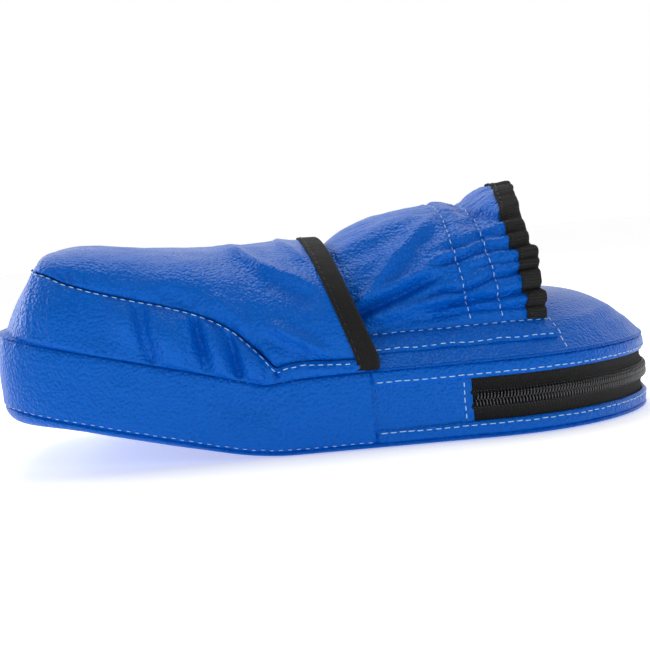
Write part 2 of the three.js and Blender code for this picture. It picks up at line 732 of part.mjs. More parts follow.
/** The hand sleeve: its arch, the elastic in its channel, the bound cuff and a hem each side. */
function addSleeve() {
  const sleeveDepth = (a, b, c) => sleeveLeather * c;
  const sleeveLength = cuffX - sleeveTopX;
  const shareAt = (x) => (x - sleeveTopX) / sleeveLength;
  add("hand_sleeve", skin(sleeveSurface, sleeveDepth, sleeveSteps, archSteps), leatherBlue);

  const elasticSurface = (a, b) => {
    const x = elasticX + elasticWidth * a;
    return sleeveSurface(shareAt(x), lerp(elasticMargin, 1 - elasticMargin, b));
  };
  const elasticDepth = (a, b, c) => sleeveLeather + gap + elasticThickness * c;
  add("sleeve_elastic", skin(elasticSurface, elasticDepth, 3, 20), elasticWhite);

  const cuffStart = shareAt(cuffX - bindingWidth);
  const cuffSurface = (a, b) => sleeveSurface(a, lerp(cuffFoot, 1 - cuffFoot, b));
  const cuffOut = bindingOverhang / sleeveLength;
  const cuff = bindingSolid(cuffSurface, cuffStart, cuffOut, sleeveLeather, archSteps);
  add("cuff_binding", cuff, darkTape);

  for (const [side, name] of [[-1, "near"], [1, "far"]]) {
    const hemPlace = (a, b, c) => {
      const x = lerp(hemStartX, hemEndX, a);
      const y = side * (halfWidthAt(x) - hemOuterInset - hemWidth * b);
      return vec(x, y, backHeight(x, y) + hemLift + leather * c);
    };
    add(`sleeve_hem_${name}`, shaped(hemPlace, 14, 3), leatherBlue);
  }
}

addPadSkins();
addFoam();
addZip();
addSlider();
addFingerCover();
addSleeve();

export default mitt;
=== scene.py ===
"""Looks of a curved focus mitt: a bent pad with a zip round its heel, a padded finger cover and a
gathered hand sleeve. Lengths are in millimetres until a mesh is made, in the frame of the CAD part.
"""

import itertools
import math

import bpy
import numpy as np
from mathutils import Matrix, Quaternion, Vector


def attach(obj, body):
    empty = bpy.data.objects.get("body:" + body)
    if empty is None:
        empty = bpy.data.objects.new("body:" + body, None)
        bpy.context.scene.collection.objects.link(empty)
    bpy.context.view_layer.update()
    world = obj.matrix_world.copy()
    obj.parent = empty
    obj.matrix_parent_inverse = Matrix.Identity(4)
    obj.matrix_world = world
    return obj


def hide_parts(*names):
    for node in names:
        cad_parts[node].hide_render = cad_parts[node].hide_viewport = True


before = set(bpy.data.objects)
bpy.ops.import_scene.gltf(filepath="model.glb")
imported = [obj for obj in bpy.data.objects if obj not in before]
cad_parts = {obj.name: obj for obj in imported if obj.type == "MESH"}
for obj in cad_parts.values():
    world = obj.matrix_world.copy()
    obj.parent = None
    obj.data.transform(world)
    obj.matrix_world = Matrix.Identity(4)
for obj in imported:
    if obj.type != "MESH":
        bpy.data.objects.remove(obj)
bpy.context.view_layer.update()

MM = 0.001
UP = np.array([0, 0, 1.0])

# Outline of the pad, its bend and its heights.
HEEL_RADIUS = 85.0
BEND_X = -111.0
BEND_HALF_WIDTH = 77.5
FINGER_LENGTH = 117.0
SQUARENESS = 5.6
BEND_SLOPE = math.tan(math.radians(15))
BEND_BLEND = 16.0
PAD_HEIGHT = 35.0
PALM_CROWN = 26.0
FINGER_CROWN = 12.0
CROWN_REACH = 50.0
CROWN_POWER = 2.2

# Zip in the side wall of the palm section.
WALL_JOINT_X = -59.0
ZIP_START_X = -15.0
ZIP_HEIGHT = 18.0
ZIP_LOW = 8.4
ZIP_HIGH = 27.6
COIL_PITCH = 1.5
SLIDER_ANGLE = math.radians(84)

# Finger cover.
BAND_HEIGHT = 27.0
TIP_LEAN = 20.0
TIP_SET_IN = 4.0
SIDE_LEAN = 6.0
COVER_EDGE_X = -55.5
COVER_SLANT = 0.33
COVER_MOUTH_RISE = 59.0
ARCH_POWER = 2.4
RIDGE = [
    (-208, 90.5), (-203.5, 94.6), (-197.5, 98.4), (-186, 101.4), (-154, 97.6), (-122, 95.4), (-96, 95.6),
    (-73, 95),
]
BINDING_WIDTH = 9.5

# Hand sleeve, its cuff and its hems.
SLEEVE_OVERLAP = 10.0
SLEEVE_INSET = 14.6
CUFF_X = 26.0
SLEEVE_RIDGE = [
    (-86, 88.4), (-74, 90.6), (-58, 99.6), (-38, 104.9), (-13, 106.8), (2, 105.4), (10, 110.3), (26, 113),
]
ELASTIC = (-13.0, 2.0)
HEM = (-56.0, 28.0)
HEM_INSET = 6.0
HEM_WIDTH = 8.9

# Thread.
STITCH_PITCH = 4.0
STITCH_LENGTH = 3.1
THREAD_RADIUS = 0.22

TANGENT_ANGLE = math.atan2(-BEND_HALF_WIDTH, BEND_X) + math.acos(
    HEEL_RADIUS / math.hypot(BEND_X, BEND_HALF_WIDTH)
)
TANGENT_X = HEEL_RADIUS * math.cos(TANGENT_ANGLE)
TANGENT_Y = -HEEL_RADIUS * math.sin(TANGENT_ANGLE)


# ---------------------------------------------------------------- shape formulas


def smoothstep(low, high, x):
    """0 below low, 1 above high, and 3t^2 - 2t^3 between."""
    t = np.clip((np.asarray(x, float) - low) / (high - low), 0, 1)
    return t * t * (3 - 2 * t)


def bell(distance, width):
    """A bump of height 1: e to the minus square of distance over width."""
    return np.exp(-((distance / width) ** 2))


def half_width(x):
    """Half the pad's width at x: a superellipse, then a straight taper, then a circle."""
    x = np.asarray(x, float)
    share = np.clip((BEND_X - x) / FINGER_LENGTH, 0, 1)
    finger = BEND_HALF_WIDTH * (1 - share**SQUARENESS) ** (1 / SQUARENESS)
    taper = np.interp(x, [BEND_X, TANGENT_X], [BEND_HALF_WIDTH, TANGENT_Y])
    heel = np.sqrt(np.clip(HEEL_RADIUS**2 - x**2, 0, None))
    return np.where(x < BEND_X, finger, np.where(x < TANGENT_X, taper, heel))


def lift(x):
    """Height that the bend adds: nothing on the palm, a ramp on the fingers, a parabola between."""
    past = BEND_X - np.asarray(x, float)
    curve = BEND_SLOPE * (past + BEND_BLEND) ** 2 / (4 * BEND_BLEND)
    return np.where(past < -BEND_BLEND, 0, np.where(past < BEND_BLEND, curve, BEND_SLOPE * past))


def resample(points, step):
    """Points a fixed step apart along a polyline, with the distance along it of each."""
    gaps = np.linalg.norm(np.diff(points, axis=0), axis=1)
    along = np.concatenate([[0], np.cumsum(gaps)])
    count = max(2, int(round(along[-1] / step)) + 1)
    wanted = np.linspace(0, along[-1], count)
    return np.stack([np.interp(wanted, along, column) for column in points.T], 1), wanted


def near_line():
    """The near half of the outline, from the middle of the finger end to the middle of the heel."""
    angle = np.linspace(0, math.radians(86), 400)
    power = 2 / SQUARENESS
    tip = np.stack(
        [BEND_X - FINGER_LENGTH * np.cos(angle) ** power, -BEND_HALF_WIDTH * np.sin(angle) ** power], 1
    )
    x = np.linspace(tip[-1, 0], TANGENT_X, 300)[1:]
    side = np.stack([x, -half_width(x)], 1)
    turn = np.linspace(TANGENT_ANGLE, 0, 400)[1:]
    heel = HEEL_RADIUS * np.stack([np.cos(turn), np.sin(turn)], 1)
    return resample(np.concatenate([tip, side, heel]), 0.5)


NEAR, NEAR_ALONG = near_line()
HALF_LENGTH = NEAR_ALONG[-1]
LOOP_LENGTH = 2 * HALF_LENGTH
LOOP = np.concatenate([NEAR, NEAR[-2:0:-1] * [1, -1]])
LOOP_ALONG = np.concatenate([NEAR_ALONG, LOOP_LENGTH - NEAR_ALONG[-2:0:-1]])


def loop_point(s):
    """Points and outward directions of the outline at distances s along it from the finger end."""
    def at(q):
        return np.stack(
            [np.interp(q, LOOP_ALONG, LOOP[:, k], period=LOOP_LENGTH) for k in (0, 1)], -1
        )
    ahead, behind = at(s + 1.5), at(s - 1.5)
    along = ahead - behind
    along /= np.linalg.norm(along, axis=-1, keepdims=True)
    return at(s), np.stack([along[..., 1], -along[..., 0]], -1)


def near_s(x):
    """Distance along the outline at which its near side has that x."""
    return np.interp(x, NEAR[:, 0], NEAR_ALONG)


def off_outline(s, offset, z):
    """Points at heights z that stand off the outline by an offset along its outward directions, and those
    directions as three-part arrows."""
    p, out = loop_point(s)
    points = np.concatenate([p + out * offset[..., None], z[..., None]], -1)
    return points, np.concatenate([out, np.zeros_like(out[..., :1])], -1)


def inset_of(x, y):
    """Distance from each point to the outline."""
    flat = np.stack([np.ravel(x), np.ravel(y)], 1)
    line = LOOP[::2]
    best = np.empty(len(flat))
    for start in range(0, len(flat), 4000):
        gap = flat[start:start + 4000, None] - line[None]
        best[start:start + 4000] = np.sqrt((gap**2).sum(-1).min(1))
    return best.reshape(np.shape(x))


def back_height(x, y):
    """Height of the crowned back: the sewn edge plus a crown that eases off inward."""
    share = np.clip(inset_of(x, y) / CROWN_REACH, 0, 1)
    palm = smoothstep(BEND_X - 40, BEND_X + 70, x)
    crown = FINGER_CROWN + (PALM_CROWN - FINGER_CROWN) * palm
    return PAD_HEIGHT + lift(x) + crown * (1 - (1 - share) ** CROWN_POWER)


def edge_dip(x):
    """How far the pad's sewn top edge sags at the bend, where the cover's side pulls it down."""
    return 3.0 * np.exp(-np.sqrt((x + 106.5) ** 2 + 4) / 9)


def height_curve(points, x):
    """A smooth curve through a few heights: a cubic between each two, with slopes from their neighbours."""
    px, pz = np.array(points, float).T
    slope = np.gradient(pz, px)
    x = np.clip(x, px[0], px[-1])
    i = np.clip(np.searchsorted(px, x, side="right") - 1, 0, len(px) - 2)
    run = px[i + 1] - px[i]
    t = (x - px[i]) / run
    rise = t * t * (3 - 2 * t)
    start = slope[i] * run * t * (1 - t) ** 2
    finish = slope[i + 1] * run * t * t * (1 - t)
    return pz[i] + (pz[i + 1] - pz[i]) * rise + start - finish


def lattice(cells, seed):
    """A repeatable value from -1 to 1 for each whole-number cell, by mixing its numbers' bits."""
    mixed = np.full(cells.shape[:-1], seed * 2654435761 % 2**32, np.uint64)
    for k, factor in zip(range(cells.shape[-1]), (374761393, 668265263, 1274126177)):
        mixed = mixed + cells[..., k].astype(np.uint64) * np.uint64(factor)
        mixed = (mixed ^ (mixed >> np.uint64(13))) * np.uint64(1103515245)
        mixed = mixed & np.uint64(0xFFFFFFFF)
    mixed = mixed ^ (mixed >> np.uint64(16))
    return mixed.astype(float) / 2**31 - 1


def noise(points, size, seed, octaves=1):
    """Smooth noise from about -1 to 1, made of lattice values blended along each axis, with finer octaves."""
    total, weight = 0.0, 0.0
    for octave in range(octaves):
        spot = np.asarray(points, float) / (np.asarray(size, float) / 2**octave)
        cell = np.floor(spot).astype(np.int64)
        part = spot - cell
        part = part**3 * (part * (part * 6 - 15) + 10)
        layer = 0.0
        for corner in itertools.product((0, 1), repeat=spot.shape[-1]):
            share = np.prod(np.where(corner, part, 1 - part), axis=-1)
            layer = layer + share * lattice(cell + np.array(corner) + 4096, seed + octave)
        total = total + layer * 0.5**octave
        weight += 0.5**octave
    return total / weight * 1.4


def grid_normals(points, wrap=False):
    """Unit normals of a grid of points, from the cross product of its two directions."""
    if wrap:
        padded = np.concatenate([points[-1:], points, points[:1]])
        along_u = (padded[2:] - padded[:-2])
    else:
        along_u = np.gradient(points, axis=0)
    along_v = np.gradient(points, axis=1)
    normal = np.cross(along_u, along_v)
    size = np.linalg.norm(normal, axis=-1, keepdims=True)
    return normal / np.maximum(size, 1e-9)


class Patch:
    """A surface held as a grid of points, with outward normals, that can be read at any share of it."""

    def __init__(self, points, wrap=False, outward=None):
        self.points = points
        self.wrap = wrap
        self.normals = grid_normals(points, wrap)
        if outward is not None and (self.normals * outward).sum() < 0:
            self.normals = -self.normals

    def at(self, u, v):
        """Point and normal at shares u and v, blended from the four grid points round them."""
        u, v = np.broadcast_arrays(np.asarray(u, float), np.asarray(v, float))
        count_u, count_v = self.points.shape[:2]
        pu = u * count_u if self.wrap else np.clip(u, 0, 1) * (count_u - 1)
        pv = np.clip(v, 0, 1) * (count_v - 1)
        i = np.floor(pu).astype(int) if self.wrap else np.minimum(np.floor(pu), count_u - 2).astype(int)
        j = np.minimum(np.floor(pv), count_v - 2).astype(int)
        fu, fv = (pu - i)[..., None], (pv - j)[..., None]
        i0, i1 = (i % count_u, (i + 1) % count_u)
        found = []
        for grid in (self.points, self.normals):
            low = grid[i0, j] * (1 - fu) + grid[i1, j] * fu
            high = grid[i0, j + 1] * (1 - fu) + grid[i1, j + 1] * fu
            found.append(low * (1 - fv) + high * fv)
        found[1] /= np.maximum(np.linalg.norm(found[1], axis=-1, keepdims=True), 1e-9)
        return found

    def pushed(self, distance):
        """The same grid moved along its normals."""
        return self.points + self.normals * np.asarray(distance)[..., None]


# ---------------------------------------------------------------- meshes


def quads(count_u, count_v, wrap_u=False, wrap_v=False, first=0):
    """Corner numbers of the four-sided faces of a grid numbered row by row."""
    u = np.arange(count_u if wrap_u else count_u - 1)
    v = np.arange(count_v if wrap_v else count_v - 1)
    u, v = (a.ravel() for a in np.meshgrid(u, v, indexing="ij"))
    u1, v1 = (u + 1) % count_u, (v + 1) % count_v
    corners = [u * count_v + v, u1 * count_v + v, u1 * count_v + v1, u * count_v + v1]
    return np.stack(corners, 1) + first


def make(name, points, faces, material, uv=None, sharp=40, triangles=None):
    """A closed mesh from points in millimetres, turned so that its faces look out."""
    points = np.asarray(points, float).reshape(-1, 3)
    a, b, c, d = (points[faces[:, k]] for k in range(4))
    volume = (np.cross(b - a, c - a) * a).sum() + (np.cross(c - a, d - a) * a).sum()
    if volume < 0:
        faces = faces[:, ::-1]
        triangles = None if triangles is None else triangles[:, ::-1]
    loops = faces.ravel()
    starts = np.arange(len(faces)) * 4
    if triangles is not None and len(triangles):
        starts = np.concatenate([starts, len(loops) + np.arange(len(triangles)) * 3])
        loops = np.concatenate([loops, triangles.ravel()])
    mesh = bpy.data.meshes.new(name)
    mesh.vertices.add(len(points))
    mesh.vertices.foreach_set("co", (points * MM).astype(np.float32).ravel())
    mesh.loops.add(len(loops))
    mesh.loops.foreach_set("vertex_index", loops.astype(np.int32))
    mesh.polygons.add(len(starts))
    mesh.polygons.foreach_set("loop_start", starts.astype(np.int32))
    mesh.update(calc_edges=True)
    mesh.validate()
    if uv is not None:
        layer = mesh.uv_layers.new(name="UVMap")
        flat = np.asarray(uv, float).reshape(-1, 2) * MM
        layer.data.foreach_set("uv", flat[loops].astype(np.float32).ravel())
    mesh.shade_smooth()
    if sharp:
        mesh.set_sharp_from_angle(angle=math.radians(sharp))
    made = bpy.data.objects.new(name, mesh)
    bpy.context.scene.collection.objects.link(made)
    mesh.materials.append(material)
    return made


def shell(name, outer, depth, material, wrap=False, uv=None, sharp=40, pole=None):
    """A skin with real thickness: the outer grid, the same grid moved in by depth, and the edges joined.
    A pole closes a wrapped grid's last row at one point."""
    patch = outer if isinstance(outer, Patch) else Patch(outer, wrap)
    count_u, count_v = patch.points.shape[:2]
    inner = patch.pushed(-np.broadcast_to(depth, (count_u, count_v)))
    total = count_u * count_v
    points = np.concatenate([patch.points.reshape(-1, 3), inner.reshape(-1, 3)])
    top = quads(count_u, count_v, wrap)
    bottom = quads(count_u, count_v, wrap, first=total)[:, ::-1]
    number = np.arange(total).reshape(count_u, count_v)
    edges = [(number[:, 0], wrap)]
    if pole is None:
        edges.append((number[::-1, -1], wrap))
    if not wrap:
        edges += [(number[0, ::-1], False), (number[-1], False)]
    sides = []
    for line, closed in edges:
        after = np.roll(line, -1) if closed else line[1:]
        here = line if closed else line[:-1]
        sides.append(np.stack([here, here + total, after + total, after], 1))
    triangles = None
    if pole is not None:
        ends = np.array([pole, np.asarray(pole) - [0, 0, np.ravel(depth)[-1] * pole_side(patch)]])
        points = np.concatenate([points, ends])
        last = number[:, -1]
        after = np.roll(last, -1)
        upper = np.stack([last, after, np.full(count_u, 2 * total)], 1)
        lower = np.stack([after + total, last + total, np.full(count_u, 2 * total + 1)], 1)
        triangles = np.concatenate([upper, lower])
    if uv is not None:
        uv = np.concatenate([uv.reshape(-1, 2)] * 2)
    return make(name, points, np.concatenate([top, bottom, *sides]), material, uv, sharp, triangles)


def pole_side(patch):
    """1 where the patch's normals point up at its last row, -1 where they point down."""
    return 1.0 if patch.normals[:, -1, 2].sum() > 0 else -1.0


def sweep(name, rings, material, uv=None, sharp=40, closed=False):
    """A tube through rings of points (stations, corners, 3), with flat ends unless it closes on itself."""
    count, corners = rings.shape[:2]
    faces = [quads(count, corners, wrap_u=closed, wrap_v=True)]
    triangles = []
    points = [rings.reshape(-1, 3)]
    if not closed:
        for end, base in ((0, 0), (count - 1, (count - 1) * corners)):
            middle = count * corners + len(triangles)
            points.append(rings[end].mean(0)[None])
            ring = base + np.arange(corners)
            after = np.roll(ring, -1)
            pair = (ring, after) if end == 0 else (after, ring)
            triangles.append(np.stack([*pair, np.full(corners, middle)], 1))
        triangles = np.concatenate(triangles)
    if uv is not None and not closed:
        uv = np.concatenate([uv.reshape(-1, 2), uv[0, :1], uv[-1, :1]])
    return make(
        name, np.concatenate(points), np.concatenate(faces), material, uv, sharp,
        triangles if len(triangles) else None,
    )


def stitches(name, line, material, pitch=STITCH_PITCH, length=STITCH_LENGTH, radius=THREAD_RADIUS, sink=0.1):
    """A run of stitches along a line of (points, normals): each is a bent capsule that rises out of one
    needle hole, lies on the skin and goes down the next."""
    points, normals = line
    gaps = np.linalg.norm(np.diff(points, axis=0), axis=1)
    along = np.concatenate([[0], np.cumsum(gaps)])
    count = max(1, int(along[-1] // pitch))
    starts = (np.arange(count) + 0.5) * (along[-1] / count) - length / 2
    jitter = noise(starts[:, None], 2.7, 5)
    stations, corners = 7, 6
    share = np.linspace(0, 1, stations)
    wanted = starts[:, None] + share * length * (1 + 0.06 * jitter[:, None])
    wanted = np.clip(wanted, 0, along[-1])
    centre = np.stack([np.interp(wanted, along, c) for c in points.T], -1)
    up = np.stack([np.interp(wanted, along, c) for c in normals.T], -1)
    up /= np.linalg.norm(up, axis=-1, keepdims=True)
    forward = centre[:, -1:] - centre[:, :1]
    forward = forward / np.maximum(np.linalg.norm(forward, axis=-1, keepdims=True), 1e-9)
    side = np.cross(up, np.broadcast_to(forward, up.shape))
    side /= np.maximum(np.linalg.norm(side, axis=-1, keepdims=True), 1e-9)
    arc = (1 - (2 * share - 1) ** 4) * (radius * 1.3 + sink) - radius - sink
    centre = centre + up * arc[None, :, None] + side * (0.12 * jitter)[:, None, None]
    size = radius * np.sqrt(np.clip(1 - (2 * share - 1) ** 6, 0.05, 1))
    angle = np.arange(corners) * math.tau / corners
    ring = (
        side[:, :, None] * (np.cos(angle) * 1.1)[:, None] + up[:, :, None] * (np.sin(angle) * 0.85)[:, None]
    )
    rings = centre[:, :, None] + ring * size[None, :, None, None]
    start_cap = np.array([[0, 1, 2, 3], [0, 3, 4, 5]])
    end_cap = start_cap[:, ::-1] + (stations - 1) * corners
    one = np.concatenate([quads(stations, corners, wrap_v=True), start_cap, end_cap])
    faces = (one[None] + (np.arange(count) * stations * corners)[:, None, None]).reshape(-1, 4)
    return make(name, rings.reshape(-1, 3), faces, material, sharp=0)


def outline_line(s, inset, height):
    """A line that follows the outline at an inset and a height above the bend, with outward normals."""
    p, out = loop_point(s)
    p = p - out * np.asarray(inset)[..., None]
    points = np.concatenate([p, (height + lift(loop_point(s)[0][..., 0]))[..., None]], -1)
    normals = np.concatenate([out, np.zeros_like(out[..., :1])], -1)
    return points, normals


# ---------------------------------------------------------------- materials


def linear(hex_colour):
    """An sRGB hex colour as linear red, green and blue with full alpha."""
    parts = [int(hex_colour[k:k + 2], 16) / 255 for k in (0, 2, 4)]
    return [p / 12.92 if p <= 0.04045 else ((p + 0.055) / 1.055) ** 2.4 for p in parts] + [1]


def node(tree, kind, settings=None, **inputs):
    """Adds a shader node: settings are its properties, inputs are values or sockets by input name, or by
    its number after "in"."""
    made = tree.nodes.new(kind)
    for key, value in (settings or {}).items():
        setattr(made, key, value)
    for key, value in inputs.items():
        by_number = key.startswith("in") and key[2:].isdigit()
        socket = made.inputs[int(key[2:]) if by_number else key.replace("_", " ")]
        if isinstance(value, bpy.types.NodeSocket):
            tree.links.new(value, socket)
        else:
            socket.default_value = value
    return made


def material(name, colour, roughness, **more):
    """A principled material. Returns it with its tree and shader, for patterns to be linked in."""
    made = bpy.data.materials.new(name)
    made.use_nodes = True
    tree = made.node_tree
    shader = tree.nodes["Principled BSDF"]
    shader.inputs["Base Color"].default_value = linear(colour)
    shader.inputs["Roughness"].default_value = roughness
    for key, value in more.items():
        shader.inputs[key.replace("_", " ")].default_value = value
    made.diffuse_color = linear(colour)
    return made, tree, shader


def coated_leather():
    """Royal blue polyurethane leather on a knitted backing: an embossed pebble grain breaks a soft gloss into
    small glints. The pebbles are 1.4 mm across, with 0.7 mm grit between them and wrinkles 8 mm long."""
    made, tree, shader = material(
        "coated_leather_blue", "005EC6", 0.4, Specular_IOR_Level=0.5, Specular_Tint=(0.22, 0.5, 1, 1)
    )
    spot = node(tree, "ShaderNodeTexCoord").outputs["Object"]
    warp = node(tree, "ShaderNodeTexNoise", Vector=spot, Scale=260.0, Detail=2.0)
    moved = node(
        tree, "ShaderNodeVectorMath", {"operation": "MULTIPLY_ADD"}, in0=warp.outputs["Color"],
        in1=(0.0011, 0.0011, 0.0011), in2=spot,
    ).outputs["Vector"]
    pebble = node(
        tree, "ShaderNodeTexVoronoi", {"feature": "SMOOTH_F1"}, Vector=moved, Scale=700.0, Smoothness=0.3,
    )
    hollow = node(
        tree, "ShaderNodeMath", {"operation": "MULTIPLY"}, in0=pebble.outputs["Distance"], in1=-1.0
    )
    fine = node(tree, "ShaderNodeTexNoise", Vector=spot, Scale=1500.0, Detail=2.0)
    wrinkle = node(tree, "ShaderNodeTexNoise", Vector=spot, Scale=130.0, Detail=4.0, Distortion=0.6)
    height = node(
        tree, "ShaderNodeMath", {"operation": "MULTIPLY_ADD"}, in0=fine.outputs["Fac"], in1=0.25,
        in2=hollow.outputs[0],
    )
    grain = node(tree, "ShaderNodeBump", Height=height.outputs[0], Strength=1.0, Distance=0.00055)
    waves = node(
        tree, "ShaderNodeBump", Height=wrinkle.outputs["Fac"], Strength=0.35, Distance=0.0012,
        Normal=grain.outputs["Normal"],
    )
    tree.links.new(waves.outputs["Normal"], shader.inputs["Normal"])
    patch = node(tree, "ShaderNodeTexNoise", Vector=spot, Scale=28.0, Detail=3.0)
    gloss = node(
        tree, "ShaderNodeMapRange", Value=patch.outputs["Fac"], From_Min=0.3, From_Max=0.7,
        To_Min=0.25, To_Max=0.42,
    )
    tree.links.new(gloss.outputs[0], shader.inputs["Roughness"])
    return made


def woven_tape(name, along, across, diagonal, cross_ribs=0.35, colour="060606"):
    """Black polyester tape. Its base colour is painted by the weave's relief: near black in the hollows as
    painted shade, and dark grey on the raised ribs as a painted highlight along each rib. It lies on its own
    UV, where a wave of scale k repeats every 314 / k millimetres."""
    made, tree, shader = material(name, colour, 0.8, Specular_IOR_Level=0.3, Sheen_Weight=0.06)
    spot = node(tree, "ShaderNodeUVMap", {"uv_map": "UVMap"}).outputs["UV"]
    turned = node(tree, "ShaderNodeMapping", Vector=spot, Rotation=(0, 0, diagonal)).outputs["Vector"]
    ribs = node(
        tree, "ShaderNodeTexWave", {"wave_type": "BANDS", "bands_direction": "X"}, Vector=turned,
        Scale=along, Distortion=0.4, Detail=1.0,
    )
    picks = node(
        tree, "ShaderNodeTexWave", {"wave_type": "BANDS", "bands_direction": "Y"}, Vector=turned,
        Scale=across,
    )
    height = node(
        tree, "ShaderNodeMath", {"operation": "MULTIPLY_ADD"}, in0=picks.outputs["Fac"], in1=cross_ribs,
        in2=ribs.outputs["Fac"],
    )
    bump = node(tree, "ShaderNodeBump", Height=height.outputs[0], Strength=1.0, Distance=0.0005)
    tree.links.new(bump.outputs["Normal"], shader.inputs["Normal"])
    # Painted highlight and shade: the base colour follows the relief, dark grey on the ribs and near black in
    # the hollows.
    painted_rib_light = node(tree, "ShaderNodeValToRGB", Fac=height.outputs[0])
    painted_rib_light.color_ramp.elements[0].color = linear(colour)
    painted_rib_light.color_ramp.elements[1].color = linear("1D1C1B")
    tree.links.new(painted_rib_light.outputs["Color"], shader.inputs["Base Color"])
    return made


def foam(name, colour, cells):
    """Foam cut from a block: dull, with cells of 1000 / cells millimetres all over."""
    made, tree, shader = material(name, colour, 0.95)
    spot = node(tree, "ShaderNodeTexCoord").outputs["Object"]
    pores = node(tree, "ShaderNodeTexVoronoi", Vector=spot, Scale=cells)
    bump = node(tree, "ShaderNodeBump", Height=pores.outputs["Distance"], Strength=0.6, Distance=0.0004)
    tree.links.new(bump.outputs["Normal"], shader.inputs["Normal"])
    return made


LEATHER_BLUE = coated_leather()
# Twill lines 0.6 mm apart, ribs 1 mm apart across the cuff's tape, and a plain weave of 0.75 mm.
TWILL_TAPE = woven_tape("twill_binding_tape", 520, 260, 0.6)
RIBBED_TAPE = woven_tape("ribbed_binding_tape", 900, 310, 0.0, 2.2)
ZIP_TAPE = woven_tape("zip_tape_polyester", 420, 420, 0.0)
# Bonded polyester thread: a slight gloss. Top-stitching is pale blue, and seams are in the skin's colour.
THREAD = material("sewing_thread", "B4DAFB", 0.45)[0]
BLUE_THREAD = material("matching_thread", "1E62BE", 0.5)[0]
BLACK_THREAD = material("black_thread", "1A1A1C", 0.5)[0]
# Drawn nylon wire is smooth, so each loop of the coil carries a small bright glint.
NYLON = material("nylon_coil", "141416", 0.16, Specular_IOR_Level=0.9)[0]
# Die-cast zinc under stoved black enamel: a broad, dull sheen.
ZINC = material("enamelled_zinc", "1A1A1C", 0.38, Metallic=0.6)[0]
FOAM_GREY = foam("closed_cell_foam", "5B6168", 900)
FOAM_PALE = foam("open_cell_foam", "D8D4C4", 600)
# Plain woven polyester and braided elastic: too fine a weave to show, so only dull.
LINING = material("woven_lining", "1C1D20", 0.8)[0]
ELASTIC_WHITE = material("braided_elastic", "DEDED8", 0.85)[0]


def place(made, *nodes, slot, body="pad"):
    """Puts a piece on its body and hides the CAD nodes that it stands for. The slot argument is not used."""
    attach(made, body)
    if nodes:
        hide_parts(*nodes)
    return made


# ---------------------------------------------------------------- pad


def plan_rings(count, insets, inner):
    """Plan of the pad as rings: first moved in along the outline's normals, then shrunk to a middle point.
    Returns the grid (count, rings, 2) and each ring's inset."""
    s = np.arange(count) * LOOP_LENGTH / count
    p, out = loop_point(s)
    rings = [p - out * d for d in insets]
    middle = np.array([BEND_X / 2, 0.0])
    last = rings[-1]
    shares = np.linspace(0, 1, inner + 1)[1:-1]
    rings += [last + (middle - last) * t for t in shares]
    return np.stack(rings, 1), middle, s


def face_skin():
    """The striking face: its rim turns up into the bottom seam, and the finger section is padded out."""
    insets = np.array([1.9, 1.1, 0.5, 0.15, 0.0, 0.15, 0.5, 1.1, 2.0, 3.2, 5.0, 8.0, 12.0])
    turn = np.array([2.6, 2.2, 1.75, 1.35, 1.0, 0.7, 0.45, 0.25, 0.12, 0.04, 0.0, 0.0, 0.0])
    plan, middle, s = plan_rings(560, insets, 26)
    x, y = plan[..., 0], plan[..., 1]
    drop = 1.2 * smoothstep(-128, -186, x) + 2.6 * smoothstep(-185, -222, x)
    shape = np.zeros(plan.shape[1])
    shape[:len(turn)] = turn
    bulge = np.zeros(plan.shape[1])
    bulge[5:len(insets)] = 1 - np.exp(-insets[5:] / 2.2)
    bulge[len(insets):] = 1
    height = lift(x) + shape[None] - drop * bulge[None]
    soft = noise(np.stack([x, y], -1), 24, 31, 3) * smoothstep(-100, -150, x) * bulge[None]
    height = height + soft * 0.5 - 0.5 * smoothstep(-110, -150, x) * bulge[None]
    height = np.maximum(height, 0.0)
    points = np.concatenate([plan, height[..., None]], -1)
    patch = Patch(points, True, -UP)
    centre = [middle[0], middle[1], float(lift(middle[0]))]
    made = shell("striking_face_skin", patch, 1.2, LEATHER_BLUE, True, pole=centre)
    return place(made, "face_panel", slot="leather_blue")


def wall_patch(s0, s1, low, high, bulge, seed, rows=22, step=1.1, tuck=1.7, puckers=0.45, shape=None):
    """A side wall between two seams: it swells between them, turns in at each, and puckers along them."""
    s = np.linspace(s0, s1, int((s1 - s0) / step))
    t = (1 - np.cos(np.linspace(0, math.pi, rows))) / 2
    grid_s, grid_t = np.meshgrid(s, t, indexing="ij")
    x = loop_point(grid_s)[0][..., 0]
    reach = high - low
    from_low, from_high = grid_t * reach, (1 - grid_t) * reach
    swell = bulge * (1 - (2 * grid_t - 1) ** 2)
    turn = -tuck * (np.exp(-from_low / 0.75) + np.exp(-from_high / 0.75))
    flat = np.stack([grid_s, grid_t * reach], -1)
    soft = noise(flat, (30, 20), seed, 3) * 0.55 * (1 - np.abs(2 * grid_t - 1) ** 3)
    gathers = noise(flat, (4.5, 26), seed + 7, 2) * (np.exp(-from_low / 6) + np.exp(-from_high / 6))
    offset = swell + turn + soft + gathers * puckers * smoothstep(0, 1.2, np.minimum(from_low, from_high))
    if shape is not None:
        offset = offset + shape(x, grid_t, grid_s)
    z = low + grid_t * reach + lift(x) - edge_dip(x) * grid_t**2
    points, outward = off_outline(grid_s, offset, z)
    return Patch(points, False, outward)


